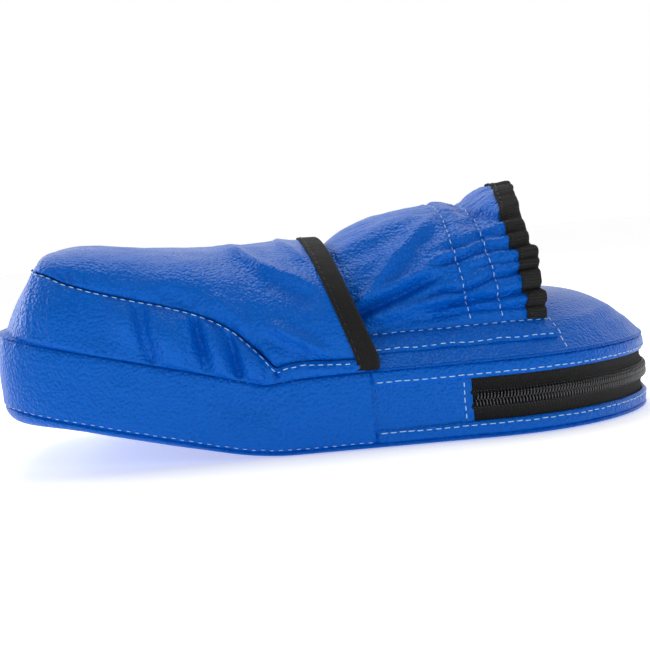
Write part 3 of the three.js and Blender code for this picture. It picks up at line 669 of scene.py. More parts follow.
def finger_wall():
    """The plain side wall, from one wall joint round the finger end to the other."""
    end = near_s(WALL_JOINT_X)

    def shape(x, t, s):
        """A dent and a puff by the bend, as bells, and a groove that deepens into each wall joint."""
        dents = -1.0 * bell(x + 118, 12) * bell(t - 0.75, 0.3) + 0.9 * bell(x + 112, 9) * bell(t - 0.3, 0.3)
        return dents - 1.4 * np.exp(-(end - np.abs(s)) / 0.8)

    patch = wall_patch(-end, end, 1.6, PAD_HEIGHT - 0.5, 0.9, 11, rows=30, shape=shape)
    made = shell("finger_wall_skin", patch, 1.2, LEATHER_BLUE)
    return place(made, "finger_end_wall", slot="leather_blue")


def folded_strip(name, node_name, seam, fold, seed):
    """A zip strip: a skin that runs from its seam to a rounded fold beside the zip, then back inside."""
    up = 1 if seam > fold else -1
    near = near_s(WALL_JOINT_X)
    s = np.concatenate([
        near + np.linspace(0, 3, 9)[:-1], np.linspace(near + 3, LOOP_LENGTH - near - 3, 440),
        LOOP_LENGTH - near - np.linspace(3, 0, 9)[1:],
    ])
    reach = abs(seam - fold)
    profile = [
        (0, -1.3), (0.35, -0.6), (1.0, -0.15), (2.0, 0.05), (0.5 * reach, 0.25), (reach - 2.4, 0.15),
        (reach - 1.2, 0.1), (reach - 0.4, -0.2), (reach - 0.05, -0.75), (reach, -1.15), (reach - 0.1, -1.6),
        (reach - 0.5, -1.95), (reach - 1.4, -2.1), (0.5 * reach, -2.1), (0.2, -2.9),
    ]
    depth = np.array([a for a, _ in profile])
    outs = np.array([b for _, b in profile])
    p, out = loop_point(s)
    grid = np.stack(np.broadcast_arrays(s[:, None], depth[None]), -1)
    wave = noise(grid, (16, 12), seed, 3)
    ripple = noise(grid, (4.2, 9), seed + 3, 2)
    seat = np.clip(depth / 2, 0, 1)[None] * (outs > -1.8)[None]
    from_joint = np.minimum(s - s[0], s[-1] - s)
    offset = outs[None] + (wave * 0.3 + ripple * 0.16) * seat - 1.4 * np.exp(-from_joint[:, None] / 0.8)
    z = seam - up * depth[None] + wave * 0.12 * seat
    rings = np.concatenate(
        [p[:, None] + out[:, None] * offset[..., None], z[..., None] + lift(p[:, None, :1])], -1
    )
    return place(sweep(name, rings, LEATHER_BLUE), node_name, slot="leather_blue")


def strip_line(s, height):
    """A stitch line on the palm wall at a height, wandering a little, and proud of the outline."""
    wobble = noise(s[:, None], 21, 77, 2) * 0.18
    return outline_line(s, np.full_like(s, -0.32), height + wobble)


def end_tab(side, name, node_name):
    """The tab that closes the side wall between the strips, folded and top-stitched beside the zip."""
    near = near_s(np.array([WALL_JOINT_X - 2, ZIP_START_X]))
    s = np.linspace(near[0], near[1], 60)
    if side > 0:
        s = LOOP_LENGTH - s
    width = s[-1] - s[0]
    v = np.linspace(0, 1, 16)
    grid_s, grid_v = np.meshgrid(s, v, indexing="ij")
    share = (grid_s - s[0]) / width
    fold = np.clip((share - 0.955) / 0.045, 0, 1)
    offset = -0.95 + 0.4 * (1 - (2 * grid_v - 1) ** 2) - 0.5 * fold**2
    flat = np.stack([np.abs(grid_s), grid_v * 22], -1)
    offset = offset + noise(flat, (13, 9), 63 + side, 3) * 0.25
    points, outward = off_outline(grid_s, offset, 6.6 + grid_v * 22.8)
    patch = Patch(points, False, outward)
    place(shell(name, patch, 0.7, LEATHER_BLUE), node_name, slot="leather_blue")
    v = np.linspace(0.11, 0.89, 40)
    u = 1 - 3.4 / abs(width)
    sewn = stitches(f"{name}_thread", patch.at(np.full_like(v, u), v), THREAD, pitch=3.4, length=2.6)
    place(sewn, slot="leather_blue")


def zip_tape(name, node_name, low, high, seed):
    """One tape of the zip: it dips a little between the strip's fold and the chain."""
    start = near_s(ZIP_START_X - 12)
    s = np.linspace(start, LOOP_LENGTH - start, 420)
    v = np.linspace(0, 1, 14)
    grid_s, grid_v = np.meshgrid(s, v, indexing="ij")
    z = low + (high - low) * grid_v
    from_chain = np.abs(z - ZIP_HEIGHT)
    offset = -1.85 + 1.0 * bell(from_chain - 3.2, 1.9) - 0.3 * bell(from_chain - 6.5, 1.6)
    offset = offset + noise(np.stack([grid_s, z], -1), (22, 9), seed, 2) * 0.22
    points, outward = off_outline(grid_s, offset, z)
    made = shell(name, Patch(points, False, outward), 0.6, ZIP_TAPE, uv=np.stack([grid_s, z], -1))
    return place(made, node_name, slot="tape_black")


def coil(name, node_name, side):
    """A wound coil: one wire that loops over the tape's edge once a pitch, meshing with the other coil's."""
    start = near_s(ZIP_START_X + 0.5)
    length = LOOP_LENGTH - 2 * start
    turns = int(length / COIL_PITCH)
    t = np.arange(turns * 12 + 1) / 12
    angle = math.tau * t
    s = start + COIL_PITCH * (t + (0.25 if side > 0 else -0.25)) + COIL_PITCH * 0.5
    s = s + 0.22 * COIL_PITCH * np.sin(angle)
    flatten = np.cos(angle)
    across = ZIP_HEIGHT + side * (1.42 - 1.62 * np.sign(flatten) * np.abs(flatten) ** 0.8)
    out_by = -0.35 + 0.82 * np.sin(angle)
    p, out = loop_point(s)
    centre = np.concatenate([p + out * out_by[:, None], across[:, None]], -1)
    along = np.gradient(centre, axis=0)
    along /= np.linalg.norm(along, axis=-1, keepdims=True)
    outward = np.concatenate([out, np.zeros((len(out), 1))], -1)
    side_way = np.cross(along, outward)
    side_way /= np.linalg.norm(side_way, axis=-1, keepdims=True)
    up = np.cross(side_way, along)
    ring = np.arange(6) * math.tau / 6
    wire = 0.4
    rings = centre[:, None] + wire * (
        side_way[:, None] * np.cos(ring)[:, None] + up[:, None] * np.sin(ring)[:, None]
    )
    made = sweep(name, rings, NYLON, sharp=0)
    return place(made, node_name, slot="nylon_black")


def chain_stitches(name, height):
    """The thread that holds a coil down on its tape."""
    start = near_s(ZIP_START_X)
    s = np.linspace(start, LOOP_LENGTH - start, 900)
    line = outline_line(s, np.full_like(s, 0.62), np.full_like(s, height))
    made = stitches(name, line, NYLON, pitch=COIL_PITCH, length=1.25, radius=0.22)
    return place(made, slot="tape_black")


def back_skin():
    """The crowned back panel: it rises from its seam, with soft creases that run round over the heel."""
    insets = np.array([1.9, 1.0, 0.35, 0.0, 0.1, 0.5, 1.2, 2.2, 3.4, 4.8, 6.4, 8.2, 10.2, 12.5, 15.0])
    plan, middle, s = plan_rings(620, insets, 52)
    x, y = plan[..., 0], plan[..., 1]
    height = back_height(x, y) - 0.2
    edge = np.zeros(plan.shape[1])
    edge[:6] = [-1.6, -1.25, -0.75, -0.25, 0.0, 0.0]
    inset = inset_of(x, y)
    seat = smoothstep(0.5, 5, inset)
    angle = np.degrees(np.arctan2(y, x))
    flat = np.stack([x, y], -1)
    soft = noise(flat, 26, 41, 2) * 0.3
    heel = smoothstep(20, 45, x)
    ridges = 2.2 * bell(inset - (15 + 0.05 * angle), 3.2) * bell(angle + 30, 42)
    ridges = ridges + 1.8 * bell(inset - (7.2 - 0.04 * angle), 2.4) * bell(angle + 20, 40)
    ridges = ridges - 1.6 * bell(inset - (11 + 0.02 * angle), 2.2) * bell(angle + 28, 45)
    ridges = ridges * smoothstep(-4, -34, angle)
    gathers = noise(np.stack([np.broadcast_to(s[:, None], x.shape), inset], -1), (5.5, 30), 47, 2)
    height = height - edge_dip(x) * np.exp(-((inset / 6) ** 2))
    height = height + edge[None] + seat * (soft + heel * ridges) + gathers * 0.3 * seat * bell(inset, 9)
    _, out = loop_point(s)
    under_band = 1 - smoothstep(COVER_EDGE_X - 4, COVER_EDGE_X + 1, x)
    tuck = 1.7 * under_band * np.exp(-inset / 4) * (1 - np.clip(-out[:, :1], 0, 1))
    plan = plan - out[:, None] * tuck[..., None]
    points = np.concatenate([plan, height[..., None]], -1)
    patch = Patch(points, True, UP)
    centre = [middle[0], middle[1], float(height[:, -1].mean())]
    made = shell("back_panel_skin", patch, 1.2, LEATHER_BLUE, True, pole=centre)
    return place(made, "back_panel", slot="leather_blue")


def level(rise):
    """Heights that stay a fixed rise above the bend."""
    return lambda x, y: lift(x) + rise


def under_back(x, y):
    """Heights of the foam's top under the crowned back's skin."""
    return back_height(x, y) - 4.0


def foam_layer(name, node_name, inset, low, high, material_used):
    """One slab of the pad's filling, with softened edges, between two heights at each plan point."""
    insets = inset + np.array([0.9, 0.3, 0.0, 0.5, 1.4, 4.0, 9.0])
    plan, middle, _ = plan_rings(220, insets, 22)
    x, y = plan[..., 0], plan[..., 1]
    bottom, top = low(x, y), high(x, y)
    soft = np.ones(plan.shape[1])
    soft[:3] = [0.12, 0.3, 0.5]
    mid = (bottom + top) / 2
    upper = np.concatenate([plan, (mid + (top - mid) * soft)[..., None]], -1)
    lower = np.concatenate([plan, (mid + (bottom - mid) * soft)[..., None]], -1)
    closed = np.concatenate([upper[:, ::-1], lower], 1)
    count, rows = closed.shape[:2]
    ends = np.array([[*middle, top[:, -1].mean()], [*middle, bottom[:, -1].mean()]])
    points = np.concatenate([closed.reshape(-1, 3), ends])
    ring = np.arange(count)
    after = (ring + 1) % count
    caps = np.concatenate([
        np.stack([after * rows, ring * rows, np.full(count, count * rows)], 1),
        np.stack([ring * rows + rows - 1, after * rows + rows - 1, np.full(count, count * rows + 1)], 1),
    ])
    made = make(name, points, quads(count, rows, True), material_used, triangles=caps)
    return place(made, node_name, slot="foam_grey" if material_used == FOAM_GREY else "foam_pale")


def build_pad():
    """All the pad's pieces: skins, strips, zip, foam and the thread of their seams."""
    face_skin()
    finger_wall()
    folded_strip("lower_zip_strip_skin", "lower_zip_strip", 1.9, ZIP_LOW, 21)
    folded_strip("upper_zip_strip_skin", "upper_zip_strip", PAD_HEIGHT - 0.5, ZIP_HIGH, 25)
    end_tab(-1, "zip_tab_near", "zip_end_tab_near")
    end_tab(1, "zip_tab_far", "zip_end_tab_far")
    zip_tape("zip_tape_lower_weave", "zip_tape_lower", 4.8, ZIP_HEIGHT - 0.2, 51)
    zip_tape("zip_tape_upper_weave", "zip_tape_upper", ZIP_HEIGHT + 0.2, 31.2, 55)
    coil("zip_coil_lower_wire", "zip_coil_lower", -1)
    coil("zip_coil_upper_wire", "zip_coil_upper", 1)
    chain_stitches("zip_coil_lower_thread", ZIP_HEIGHT - 3.6)
    chain_stitches("zip_coil_upper_thread", ZIP_HEIGHT + 3.6)
    start = near_s(WALL_JOINT_X) + 1.5
    s = np.linspace(start, LOOP_LENGTH - start, 1600)
    place(stitches("upper_strip_thread", strip_line(s, ZIP_HIGH + 1.9), THREAD), slot="leather_blue")
    place(stitches("lower_strip_thread", strip_line(s, ZIP_LOW - 1.7), THREAD), slot="leather_blue")
    end = near_s(WALL_JOINT_X) - 1
    s = np.linspace(-end, end, 1800)
    foot = outline_line(s, np.full_like(s, -0.55), np.full_like(s, 3.1))
    place(stitches("finger_wall_foot_thread", foot, THREAD, length=2.0, radius=0.14), slot="leather_blue")
    top = outline_line(s, np.full_like(s, -0.35), np.full_like(s, PAD_HEIGHT - 1.5))
    sewn = stitches("finger_wall_top_thread", top, BLUE_THREAD, length=1.2, radius=0.16)
    place(sewn, slot="leather_blue")
    for side, where in ((-1, "near"), (1, "far")):
        joint = near_s(WALL_JOINT_X) + 1.6
        points, out = loop_point(np.full(60, joint if side < 0 else LOOP_LENGTH - joint))
        z = np.linspace(3.5, PAD_HEIGHT - 2.5, 60)
        points = np.concatenate([points + out * 0.1, z[:, None]], -1)
        normals = np.concatenate([out, np.zeros((60, 1))], -1)
        sewn = stitches(f"wall_joint_{where}_thread", (points, normals), BLUE_THREAD, length=2.0, radius=0.2)
        place(sewn, slot="leather_blue")
    back = back_skin()
    foam_layer("foam_face_slab", "foam_face_layer", 2.8, level(2.2), level(12.2), FOAM_GREY)
    foam_layer("foam_core_slab", "foam_core_layer", 4.9, level(13.0), level(25.0), FOAM_PALE)
    foam_layer("foam_back_slab", "foam_back_layer", 4.2, level(25.8), under_back, FOAM_PALE)
    return back


# ---------------------------------------------------------------- slider and stops


def turned(local, angle):
    """Points of (out, along, up) about the heel's axis, turned to an angle round the heel."""
    out, along, up = np.moveaxis(np.asarray(local, float), -1, 0)
    x = out * math.cos(angle) - along * math.sin(angle)
    y = out * math.sin(angle) + along * math.cos(angle)
    return np.stack([x, y, up + ZIP_HEIGHT], -1)


def round_outline(half_long, half_wide, power, count=48, taper=0.0):
    """A rounded outline: a superellipse, narrowed by taper towards its far end."""
    t = np.arange(count) * math.tau / count
    a = half_long * np.sign(np.cos(t)) * np.abs(np.cos(t)) ** (2 / power)
    b = half_wide * np.sign(np.sin(t)) * np.abs(np.sin(t)) ** (2 / power)
    return np.stack([a, b * (1 - taper * (a / half_long + 1) / 2)], 1)


def lozenge(outline, low, high, soft):
    """Rings of a plate that stands between two heights over an outline, with softened edges."""
    centre = outline.mean(0)
    levels = [
        (0.02, low), (0.6, low), (1 - soft, low), (1 - soft / 3, low + 0.12), (1, low + 0.35),
        (1, high - 0.35), (1 - soft / 3, high - 0.12), (1 - soft, high), (0.6, high), (0.02, high),
    ]
    rings = [np.column_stack([np.full(len(outline), h), centre + (outline - centre) * k]) for k, h in levels]
    return np.stack(rings)


def bar_rings(path, ups, width, thick):
    """A flat bar along a path in the plane of out and along: each station is a rounded rectangle."""
    path = np.asarray(path, float)
    way = np.gradient(path, axis=0)
    way /= np.linalg.norm(way, axis=1, keepdims=True)
    normal = np.stack([-way[:, 1], way[:, 0]], 1)
    t = np.arange(16) * math.tau / 16
    a = thick / 2 * np.sign(np.cos(t)) * np.abs(np.cos(t)) ** 0.5
    b = width / 2 * np.sign(np.sin(t)) * np.abs(np.sin(t)) ** 0.5
    spot = path[:, None] + normal[:, None] * a[None, :, None]
    return np.concatenate([spot, np.broadcast_to(b + ups, spot.shape[:2])[..., None]], -1)


def joined(name, meshes, slot, body, nodes):
    """Several closed forms that touch, joined as one piece."""
    with bpy.context.temp_override(active_object=meshes[0], selected_editable_objects=meshes):
        bpy.ops.object.join()
    meshes[0].name = name
    return place(meshes[0], *nodes, slot=slot, body=body)


def build_slider():
    """The slider's two plates, its side walls and bridge, the pull tab with its window, and the end stops."""
    plate_in = HEEL_RADIUS + 0.8
    plate_out = plate_in + 1.3
    wall = 0.15 + 2.85 + 0.4
    outline = round_outline(5.5, wall + 1.2, 3.6, taper=0.16)
    front = sweep("slider_front", turned(lozenge(outline, plate_in, plate_out, 0.12), SLIDER_ANGLE), ZINC)
    sides = []
    for side in (-1, 1):
        path = [(HEEL_RADIUS - 1.15, a) for a in np.linspace(-5.0, 5.0, 12)]
        local = bar_rings(path, side * (wall + 0.55), 0.95, 2.3)
        local[..., 0] += 0.95
        sides.append(sweep("slider_side", turned(local, SLIDER_ANGLE), ZINC))
    t = np.linspace(0, math.pi, 22)
    arch = np.stack([plate_out - 0.3 + 2.75 * np.sin(t) ** 0.6, -2.9 * np.cos(t)], 1)
    bridge = sweep("slider_bridge", turned(bar_rings(arch, 0, 2.0, 1.1), SLIDER_ANGLE), ZINC)
    joined("zip_slider_body", [front, *sides, bridge], "zinc_black", "zip_slider", ["zip_slider_front"])
    back_out = HEEL_RADIUS - 1.8 - 0.6 - 0.6
    rings = turned(lozenge(outline, back_out - 1.3, back_out, 0.12), SLIDER_ANGLE)
    place(
        sweep("zip_slider_back_plate", rings, ZINC), "zip_slider_back", slot="zinc_black", body="zip_slider"
    )
    hinge = plate_out + 0.875
    outer = round_outline(12.1, 3.2, 5)
    outer[:, 0] -= 11.7
    outer[:, 1] *= 1 - 0.14 * bell(outer[:, 0] + 12, 5)
    window = round_outline(1.95, 1.35, 4)
    window[:, 0] -= 2.5
    ring = [
        (outer, -0.3), (outer, 0.3), (0.94 * outer + 0.06 * window, 0.5), (0.06 * outer + 0.94 * window, 0.5),
        (window, 0.35), (window, -0.35), (0.06 * outer + 0.94 * window, -0.5),
        (0.94 * outer + 0.06 * window, -0.5),
    ]
    loops = np.stack([np.column_stack([np.full(len(p), hinge + h), p]) for p, h in ring], 1)
    grid = turned(loops, SLIDER_ANGLE)
    tab = make("zip_pull", grid, quads(len(outer), len(ring), True, True), ZINC)
    place(tab, "zip_pull_tab", slot="zinc_black", body="pull")
    stop = SLIDER_ANGLE + (5.5 + 2) / HEEL_RADIUS
    for side, name in ((-1, "lower"), (1, "upper")):
        outline = round_outline(1.0, 0.62, 4, 20)
        outline[:, 1] += side * 3.9
        rings = lozenge(outline, HEEL_RADIUS - 1.5, HEEL_RADIUS + 0.5, 0.2)
        made = sweep(f"zip_stop_{name}", turned(rings, stop), ZINC)
        place(made, f"zip_end_stop_{name}", slot="zinc_black")


# ---------------------------------------------------------------- finger cover

BAND_TOP = [
    (-230, 27.0), (-215, 29.5), (-203, 30.5), (-193, 29.0), (-176, 27.8), (-163, 27.3), (-147, 26.8),
    (-132, 25.3), (-118, 20.2), (-110, 13.6), (-104.5, 8.2), (-101.6, 5.2), (-100.4, 4.9), (-97.5, 5.7),
    (-89, 6.6), (-75, 5.9), (-50, 5.3),
]
COVER_END = float(near_s(COVER_EDGE_X))
COVER_CORNER = float(near_s(BEND_X - FINGER_LENGTH * math.cos(math.radians(40)) ** (2 / SQUARENESS)))


def band_top(x):
    """Height of the finger cover's seam above the pad's edge: high over the fingers, low by the mouth."""
    return height_curve(BAND_TOP, x)


def seam_point(s):
    """The cover's seam at distances s along the outline: in by the side's lean and up by the band."""
    p, out = loop_point(s)
    top = band_top(p[..., 0])
    lean = (SIDE_LEAN + (TIP_LEAN - SIDE_LEAN) * np.clip(-out[..., 0], 0, 1)) * top / BAND_HEIGHT
    xy = p - out * lean[..., None]
    return np.concatenate([xy, (PAD_HEIGHT + lift(p[..., 0]) + top)[..., None]], -1)


def arch(b):
    """Across-share and rise of a boxy arch at b, from the near foot 0 to the far foot 1."""
    angle = math.pi * np.clip(b, 0, 1)
    across = -np.sign(np.cos(angle)) * np.abs(np.cos(angle)) ** (2 / ARCH_POWER)
    return across, np.abs(np.sin(angle)) ** (2 / ARCH_POWER)


def folds(points, lines):
    """Sum of ridges and valleys along lines given in x and z: each line is (corner points, width, height,
    whether it is also on the far side)."""
    x, y, z = np.moveaxis(points, -1, 0)
    total = np.zeros(x.shape)
    for corners, width, height, both in lines:
        corners = np.array(corners, float)
        best = np.full(x.shape, 1e9)
        share = np.zeros(x.shape)
        steps = len(corners) - 1
        for k in range(steps):
            start, end = corners[k], corners[k + 1]
            way = end - start
            t = ((x - start[0]) * way[0] + (z - start[1]) * way[1]) / (way @ way)
            t = np.clip(t, 0, 1)
            gap = np.hypot(x - start[0] - t * way[0], z - start[1] - t * way[1])
            closer = gap < best
            best = np.where(closer, gap, best)
            share = np.where(closer, (k + t) / steps, share)
        ends = smoothstep(0, 0.22, share) * smoothstep(0, 0.22, 1 - share) * 0.85 + 0.15
        side = np.where(y < 0, 1.0, 0.8 if both else 0.0)
        total += height * bell(best, width) * ends * side
    return total


COVER_FOLDS = [
    ([(-122, 95), (-112, 90), (-102, 84), (-90, 78.4), (-76, 71.4)], 2.6, 1.9, True),
    ([(-104, 80), (-92, 74), (-79, 66)], 5.0, -1.0, True),
    ([(-96, 95), (-90, 93), (-80, 83.5)], 2.2, 1.0, False),
    ([(-104, 60.5), (-88.5, 51.5), (-75, 43.5)], 2.4, 1.6, True),
    ([(-108, 56), (-96, 49), (-84, 44)], 3.0, -1.1, True),
    ([(-196, 92.5), (-192, 89), (-190, 87)], 1.2, -0.8, False),
    ([(-190, 92), (-186.5, 86)], 1.2, -0.7, True),
    ([(-183, 90), (-180.5, 84)], 1.4, -0.5, True),
    ([(-150, 80), (-141, 74), (-134, 69)], 4.0, -0.9, True),
    ([(-128, 76), (-118, 66), (-110, 56)], 3.6, 0.9, True),
]


def cover_patch():
    """The finger cover's top: its seam filled by straight blends, plus an arch up to the ridge, with the
    puckers of its seam and the folds that run from the knuckles to the mouth."""
    a = np.linspace(0, 1, 168)
    b = np.concatenate([[0, 0.004, 0.009, 0.016], np.linspace(0.025, 0.975, 196), [0.984, 0.991, 0.996, 1]])
    across, rise = arch(b)
    v = (across + 1) / 2
    span = COVER_CORNER + (COVER_END - COVER_CORNER) * a
    near = seam_point(span)
    far = seam_point(-span)
    tip = seam_point(COVER_CORNER * (1 - 2 * v))
    v3, a3 = v[None, :, None], a[:, None, None]
    opening = near[-1] * (1 - v3) + far[-1] * v3
    ends = tip[None] * (1 - a3) + opening * a3
    sides = near[:, None] * (1 - v3) + far[:, None] * v3
    near_corner = near[0] * (1 - a3) + near[-1] * a3
    far_corner = far[0] * (1 - a3) + far[-1] * a3
    p = ends + sides - (near_corner * (1 - v3) + far_corner * v3)
    tip_middle = seam_point(np.array(0.0))
    middle = tip_middle[0] + (COVER_EDGE_X - COVER_SLANT * COVER_MOUTH_RISE - tip_middle[0]) * a
    base = tip_middle[2] + (near[-1, 2] - tip_middle[2]) * a + near[:, 2] - near_corner[:, 0, 2]
    height = np.maximum(0, height_curve(RIDGE, middle) - base)
    p[..., 2] += height[:, None] * rise[None]
    p[..., 0] -= COVER_SLANT * (a**2 * height)[:, None] * rise[None]
    patch = Patch(p, False, UP)
    across_gap = np.linalg.norm(np.diff(p, axis=1), axis=-1)
    from_near = np.concatenate([np.zeros((len(a), 1)), np.cumsum(across_gap, 1)], 1)
    from_far = from_near[:, -1:] - from_near
    along_gap = np.linalg.norm(np.diff(p, axis=0), axis=-1)
    from_tip = np.concatenate([np.zeros((1, len(b))), np.cumsum(along_gap, 0)], 0)
    edge = np.minimum(np.minimum(from_near, from_far), from_tip)
    round_seam = np.where(from_tip < np.minimum(from_near, from_far), p[..., 1], p[..., 0])
    gathers = noise(np.stack([round_seam, edge, p[..., 1] * 0.2], -1), (5.5, 26, 30), 81, 2)
    shape = -1.5 * np.exp(-edge / 0.9) + 0.7 * (1 - np.exp(-edge / 5))
    shape = shape + 0.75 * gathers * np.exp(-edge / 7) * smoothstep(0, 1.5, edge)
    shape = shape + noise(p, 30, 83, 3) * 0.9 * smoothstep(0, 12, edge)
    shape = shape + noise(p, (26, 9, 9), 87, 2) * 0.22 * smoothstep(0, 6, edge)
    shape = shape + 1.8 * folds(p, COVER_FOLDS) * smoothstep(0, 3, edge)
    shape = shape * np.where(a > 0.9, 1 - 0.6 * smoothstep(0.9, 1.0, a), 1)[:, None]
    outer = patch.pushed(shape)
    return Patch(outer, False, UP)


BAND_PUFFS = [
    # x, share of height, reach along, reach up, height
    (-200, 0.5, 16, 0.5, 0.9), (-178, 0.35, 10, 0.4, -0.5), (-165, 0.68, 7.5, 0.34, 2.1),
    (-157.5, 0.45, 3.6, 0.6, -2.2), (-147, 0.5, 8.0, 0.42, 2.6), (-138, 0.8, 6.0, 0.2, 1.0),
    (-133.4, 0.6, 2.4, 0.5, -2.4), (-127, 0.55, 4.6, 0.5, 2.3), (-119.5, 0.62, 2.6, 0.4, -1.2),
    (-117.5, 0.2, 2.2, 0.35, -1.8), (-113, 0.5, 3.8, 0.5, 1.9), (-108, 0.5, 2.4, 0.6, 1.6),
    (-100.8, 0.6, 1.1, 0.6, -1.8), (-99.5, 0.5, 2.0, 0.7, 1.0),
]


def band_patch():
    """The cover's side band: it stands on the pad's edge and leans in to the seam, with puffs between the
    tucks where it turns down to the mouth. Returns it with its height at each station."""
    end = float(near_s(COVER_EDGE_X - 6))
    s = np.linspace(-end, end, 640)
    t = (1 - np.cos(np.linspace(0, math.pi, 30))) / 2
    grid_s, grid_t = np.meshgrid(s, t, indexing="ij")
    p, out = loop_point(grid_s)
    x = p[..., 0]
    top = band_top(x)
    lean = (SIDE_LEAN + (TIP_LEAN - SIDE_LEAN) * np.clip(-out[..., 0], 0, 1)) * top / BAND_HEIGHT
    low_gap, high_gap = grid_t * top, (1 - grid_t) * top
    swell = 0.05 * top * (1 - (2 * grid_t - 1) ** 2)
    turn = -1.0 * np.exp(-low_gap / 0.8) - 0.75 * np.exp(-high_gap / 0.6) + 0.5 * np.exp(-high_gap / 3.0)
    near = p[..., 1] < 0
    puffs = np.zeros_like(x)
    for centre, share, reach, up, height in BAND_PUFFS:
        slide = np.where(near, 0.0, 2.5)
        gap = (x - centre - slide + 0.16 * (grid_t - share) * top) / reach
        puffs += 1.9 * height * np.exp(-gap**2 - ((grid_t - share) / up) ** 2)
    bent = smoothstep(-185, -160, x)
    flat = np.stack([grid_s, grid_t * top], -1)
    gathers = noise(flat, (5.0, 22), 93, 3)
    set_in = TIP_SET_IN * np.clip(-out[..., 0], 0, 1) ** 2 * (1 - grid_t)
    from_seam = np.minimum(low_gap, high_gap)
    offset = -grid_t * lean - set_in + swell + turn + puffs * smoothstep(0, 2.5, from_seam)
    offset = offset + gathers * (0.35 + 0.35 * bent) * smoothstep(0, 3, from_seam)
    offset = offset + noise(flat, (34, 18), 95, 2) * 0.5 * smoothstep(0, 5, from_seam)
    z = PAD_HEIGHT - 0.3 + lift(x) + grid_t * (top + 0.3) - edge_dip(x) * (1 - grid_t) ** 2
    points, outward = off_outline(grid_s, offset, z)
    return Patch(points, False, outward), top[:, 0]


def binding(name, node_name, spots, ways, normals, material_used, skin, waves):
    """A tape folded over an edge: at each spot along it, one closed section of outer face, fold and inner
    face. ways point past the edge, normals out of the skin."""
    width = BINDING_WIDTH
    inner = -skin - 0.25
    section = np.array([
        (width, 0.2), (width, 0.75), (width - 0.35, 0.98), (width * 0.66, 1.05), (width * 0.33, 1.08),
        (1.4, 1.05), (0.3, 0.85), (-0.45, 0.35), (-0.8, inner / 2), (-0.45, inner - 0.5),
        (0.3, inner - 0.95), (1.4, inner - 1.1), (width * 0.5, inner - 1.05), (width - 0.35, inner - 1.0),
        (width, inner - 0.8), (width, inner - 0.1), (width * 0.5, inner), (1.2, inner),
        (0.25, inner * 0.75), (0.0, inner / 2), (0.25, -0.05), (1.2, 0.15), (width * 0.5, 0.18),
    ])
    back, up = section.T
    run = np.concatenate([[0], np.cumsum(np.linalg.norm(np.diff(spots, axis=0), axis=1))])
    ripple = noise(np.stack(np.broadcast_arrays(run[:, None], back[None]), -1), (7, 12), waves, 2) * 0.22
    offset = up[None] + ripple
    rings = spots[:, None] - ways[:, None] * back[None, :, None] + normals[:, None] * offset[..., None]
    round_tape = np.cumsum(np.r_[0, np.hypot(*np.diff(section, axis=0).T)])
    uv = np.stack(np.broadcast_arrays(round_tape[None], run[:, None]), -1)
    made = sweep(name, rings, material_used, uv=uv)
    place(made, node_name, slot="tape_black")
    sewn = spots - ways * (width - 1.6) + normals * 1.12
    thread = stitches(f"{name}_thread", (sewn, normals), BLACK_THREAD, radius=0.24)
    return [made, place(thread, slot="tape_black")]


def edge_frame(patch, b, reach=0.06):
    """Points, ways out and normals along a patch's last edge at shares b, each way and normal smoothed."""
    spots, normals = patch.at(np.ones_like(b), b)
    before, _ = patch.at(np.full_like(b, 1 - reach), b)
    ways = spots - before
    kernel = np.ones(7) / 7
    ways, normals = (
        np.stack([np.convolve(np.pad(part, 3, mode="edge"), kernel, "valid") for part in arrows.T], 1)
        for arrows in (ways, normals)
    )
    ways /= np.linalg.norm(ways, axis=1, keepdims=True)
    normals -= ways * (normals * ways).sum(1, keepdims=True)
    normals /= np.linalg.norm(normals, axis=1, keepdims=True)
    return spots, ways, normals


def build_cover():
    """The finger cover: top, side band, foam, lining, the bound mouth and the thread of its seam."""
    top = cover_patch()
    made = shell("finger_cover_top_skin", top, 1.1, LEATHER_BLUE)
    place(made, "finger_cover_top_panel", slot="leather_blue")
    band, height = band_patch()
    made = shell("finger_cover_band_skin", band, 1.1, LEATHER_BLUE)
    place(made, "finger_cover_side_band", slot="leather_blue")
    u = np.linspace(0.012, 0.988, 2400)
    tall = np.interp(u, np.linspace(0, 1, len(height)), height)
    line = band.at(u, 1 - np.minimum(2.0, 0.42 * tall) / tall)
    place(stitches("finger_cover_seam_thread", line, THREAD), slot="leather_blue")

    rows = slice(11, 147)
    columns = slice(20, 184)
    foam_top = top.pushed(-1.9)[rows, columns][::2, ::2]
    made = shell("finger_cover_foam_pad", Patch(foam_top, False, UP), 5, FOAM_PALE)
    place(made, "finger_cover_foam", slot="foam_pale")
    share = np.linspace(0, 1, len(top.points))[8:]
    depth = 1.7 + 5.6 * (1 - smoothstep(0.84, 0.93, share))
    inner = (top.points[8:, columns] - top.normals[8:, columns] * depth[:, None, None])[::2, ::2]
    made = shell("finger_cover_lining_skin", Patch(inner, False, UP), 0.7, LINING)
    place(made, "finger_cover_lining", slot="lining_black")

    b = np.linspace(0, 1, 420)
    spots, ways, normals = edge_frame(top, b)
    along = np.r_[0, np.cumsum(np.linalg.norm(np.diff(spots, axis=0), axis=1))]
    proud = 1.3 * (np.exp(-along / 4) + np.exp(-(along[-1] - along) / 4))
    spots = spots + normals * proud[:, None]
    near_foot = [spots[:1] - UP * d for d in (4.4, 3.0, 1.5)]
    far_foot = [spots[-1:] - UP * d for d in (1.5, 3.0, 4.4)]
    spots = np.concatenate([*near_foot, spots, *far_foot])
    ways = np.concatenate([*[ways[:1]] * 3, ways, *[ways[-1:]] * 3])
    normals = np.concatenate([*[normals[:1]] * 3, normals, *[normals[-1:]] * 3])
    binding(
        "finger_cover_binding_tape", "finger_cover_binding", spots, ways, normals, TWILL_TAPE, 2.2, 17
    )


# ---------------------------------------------------------------- hand sleeve

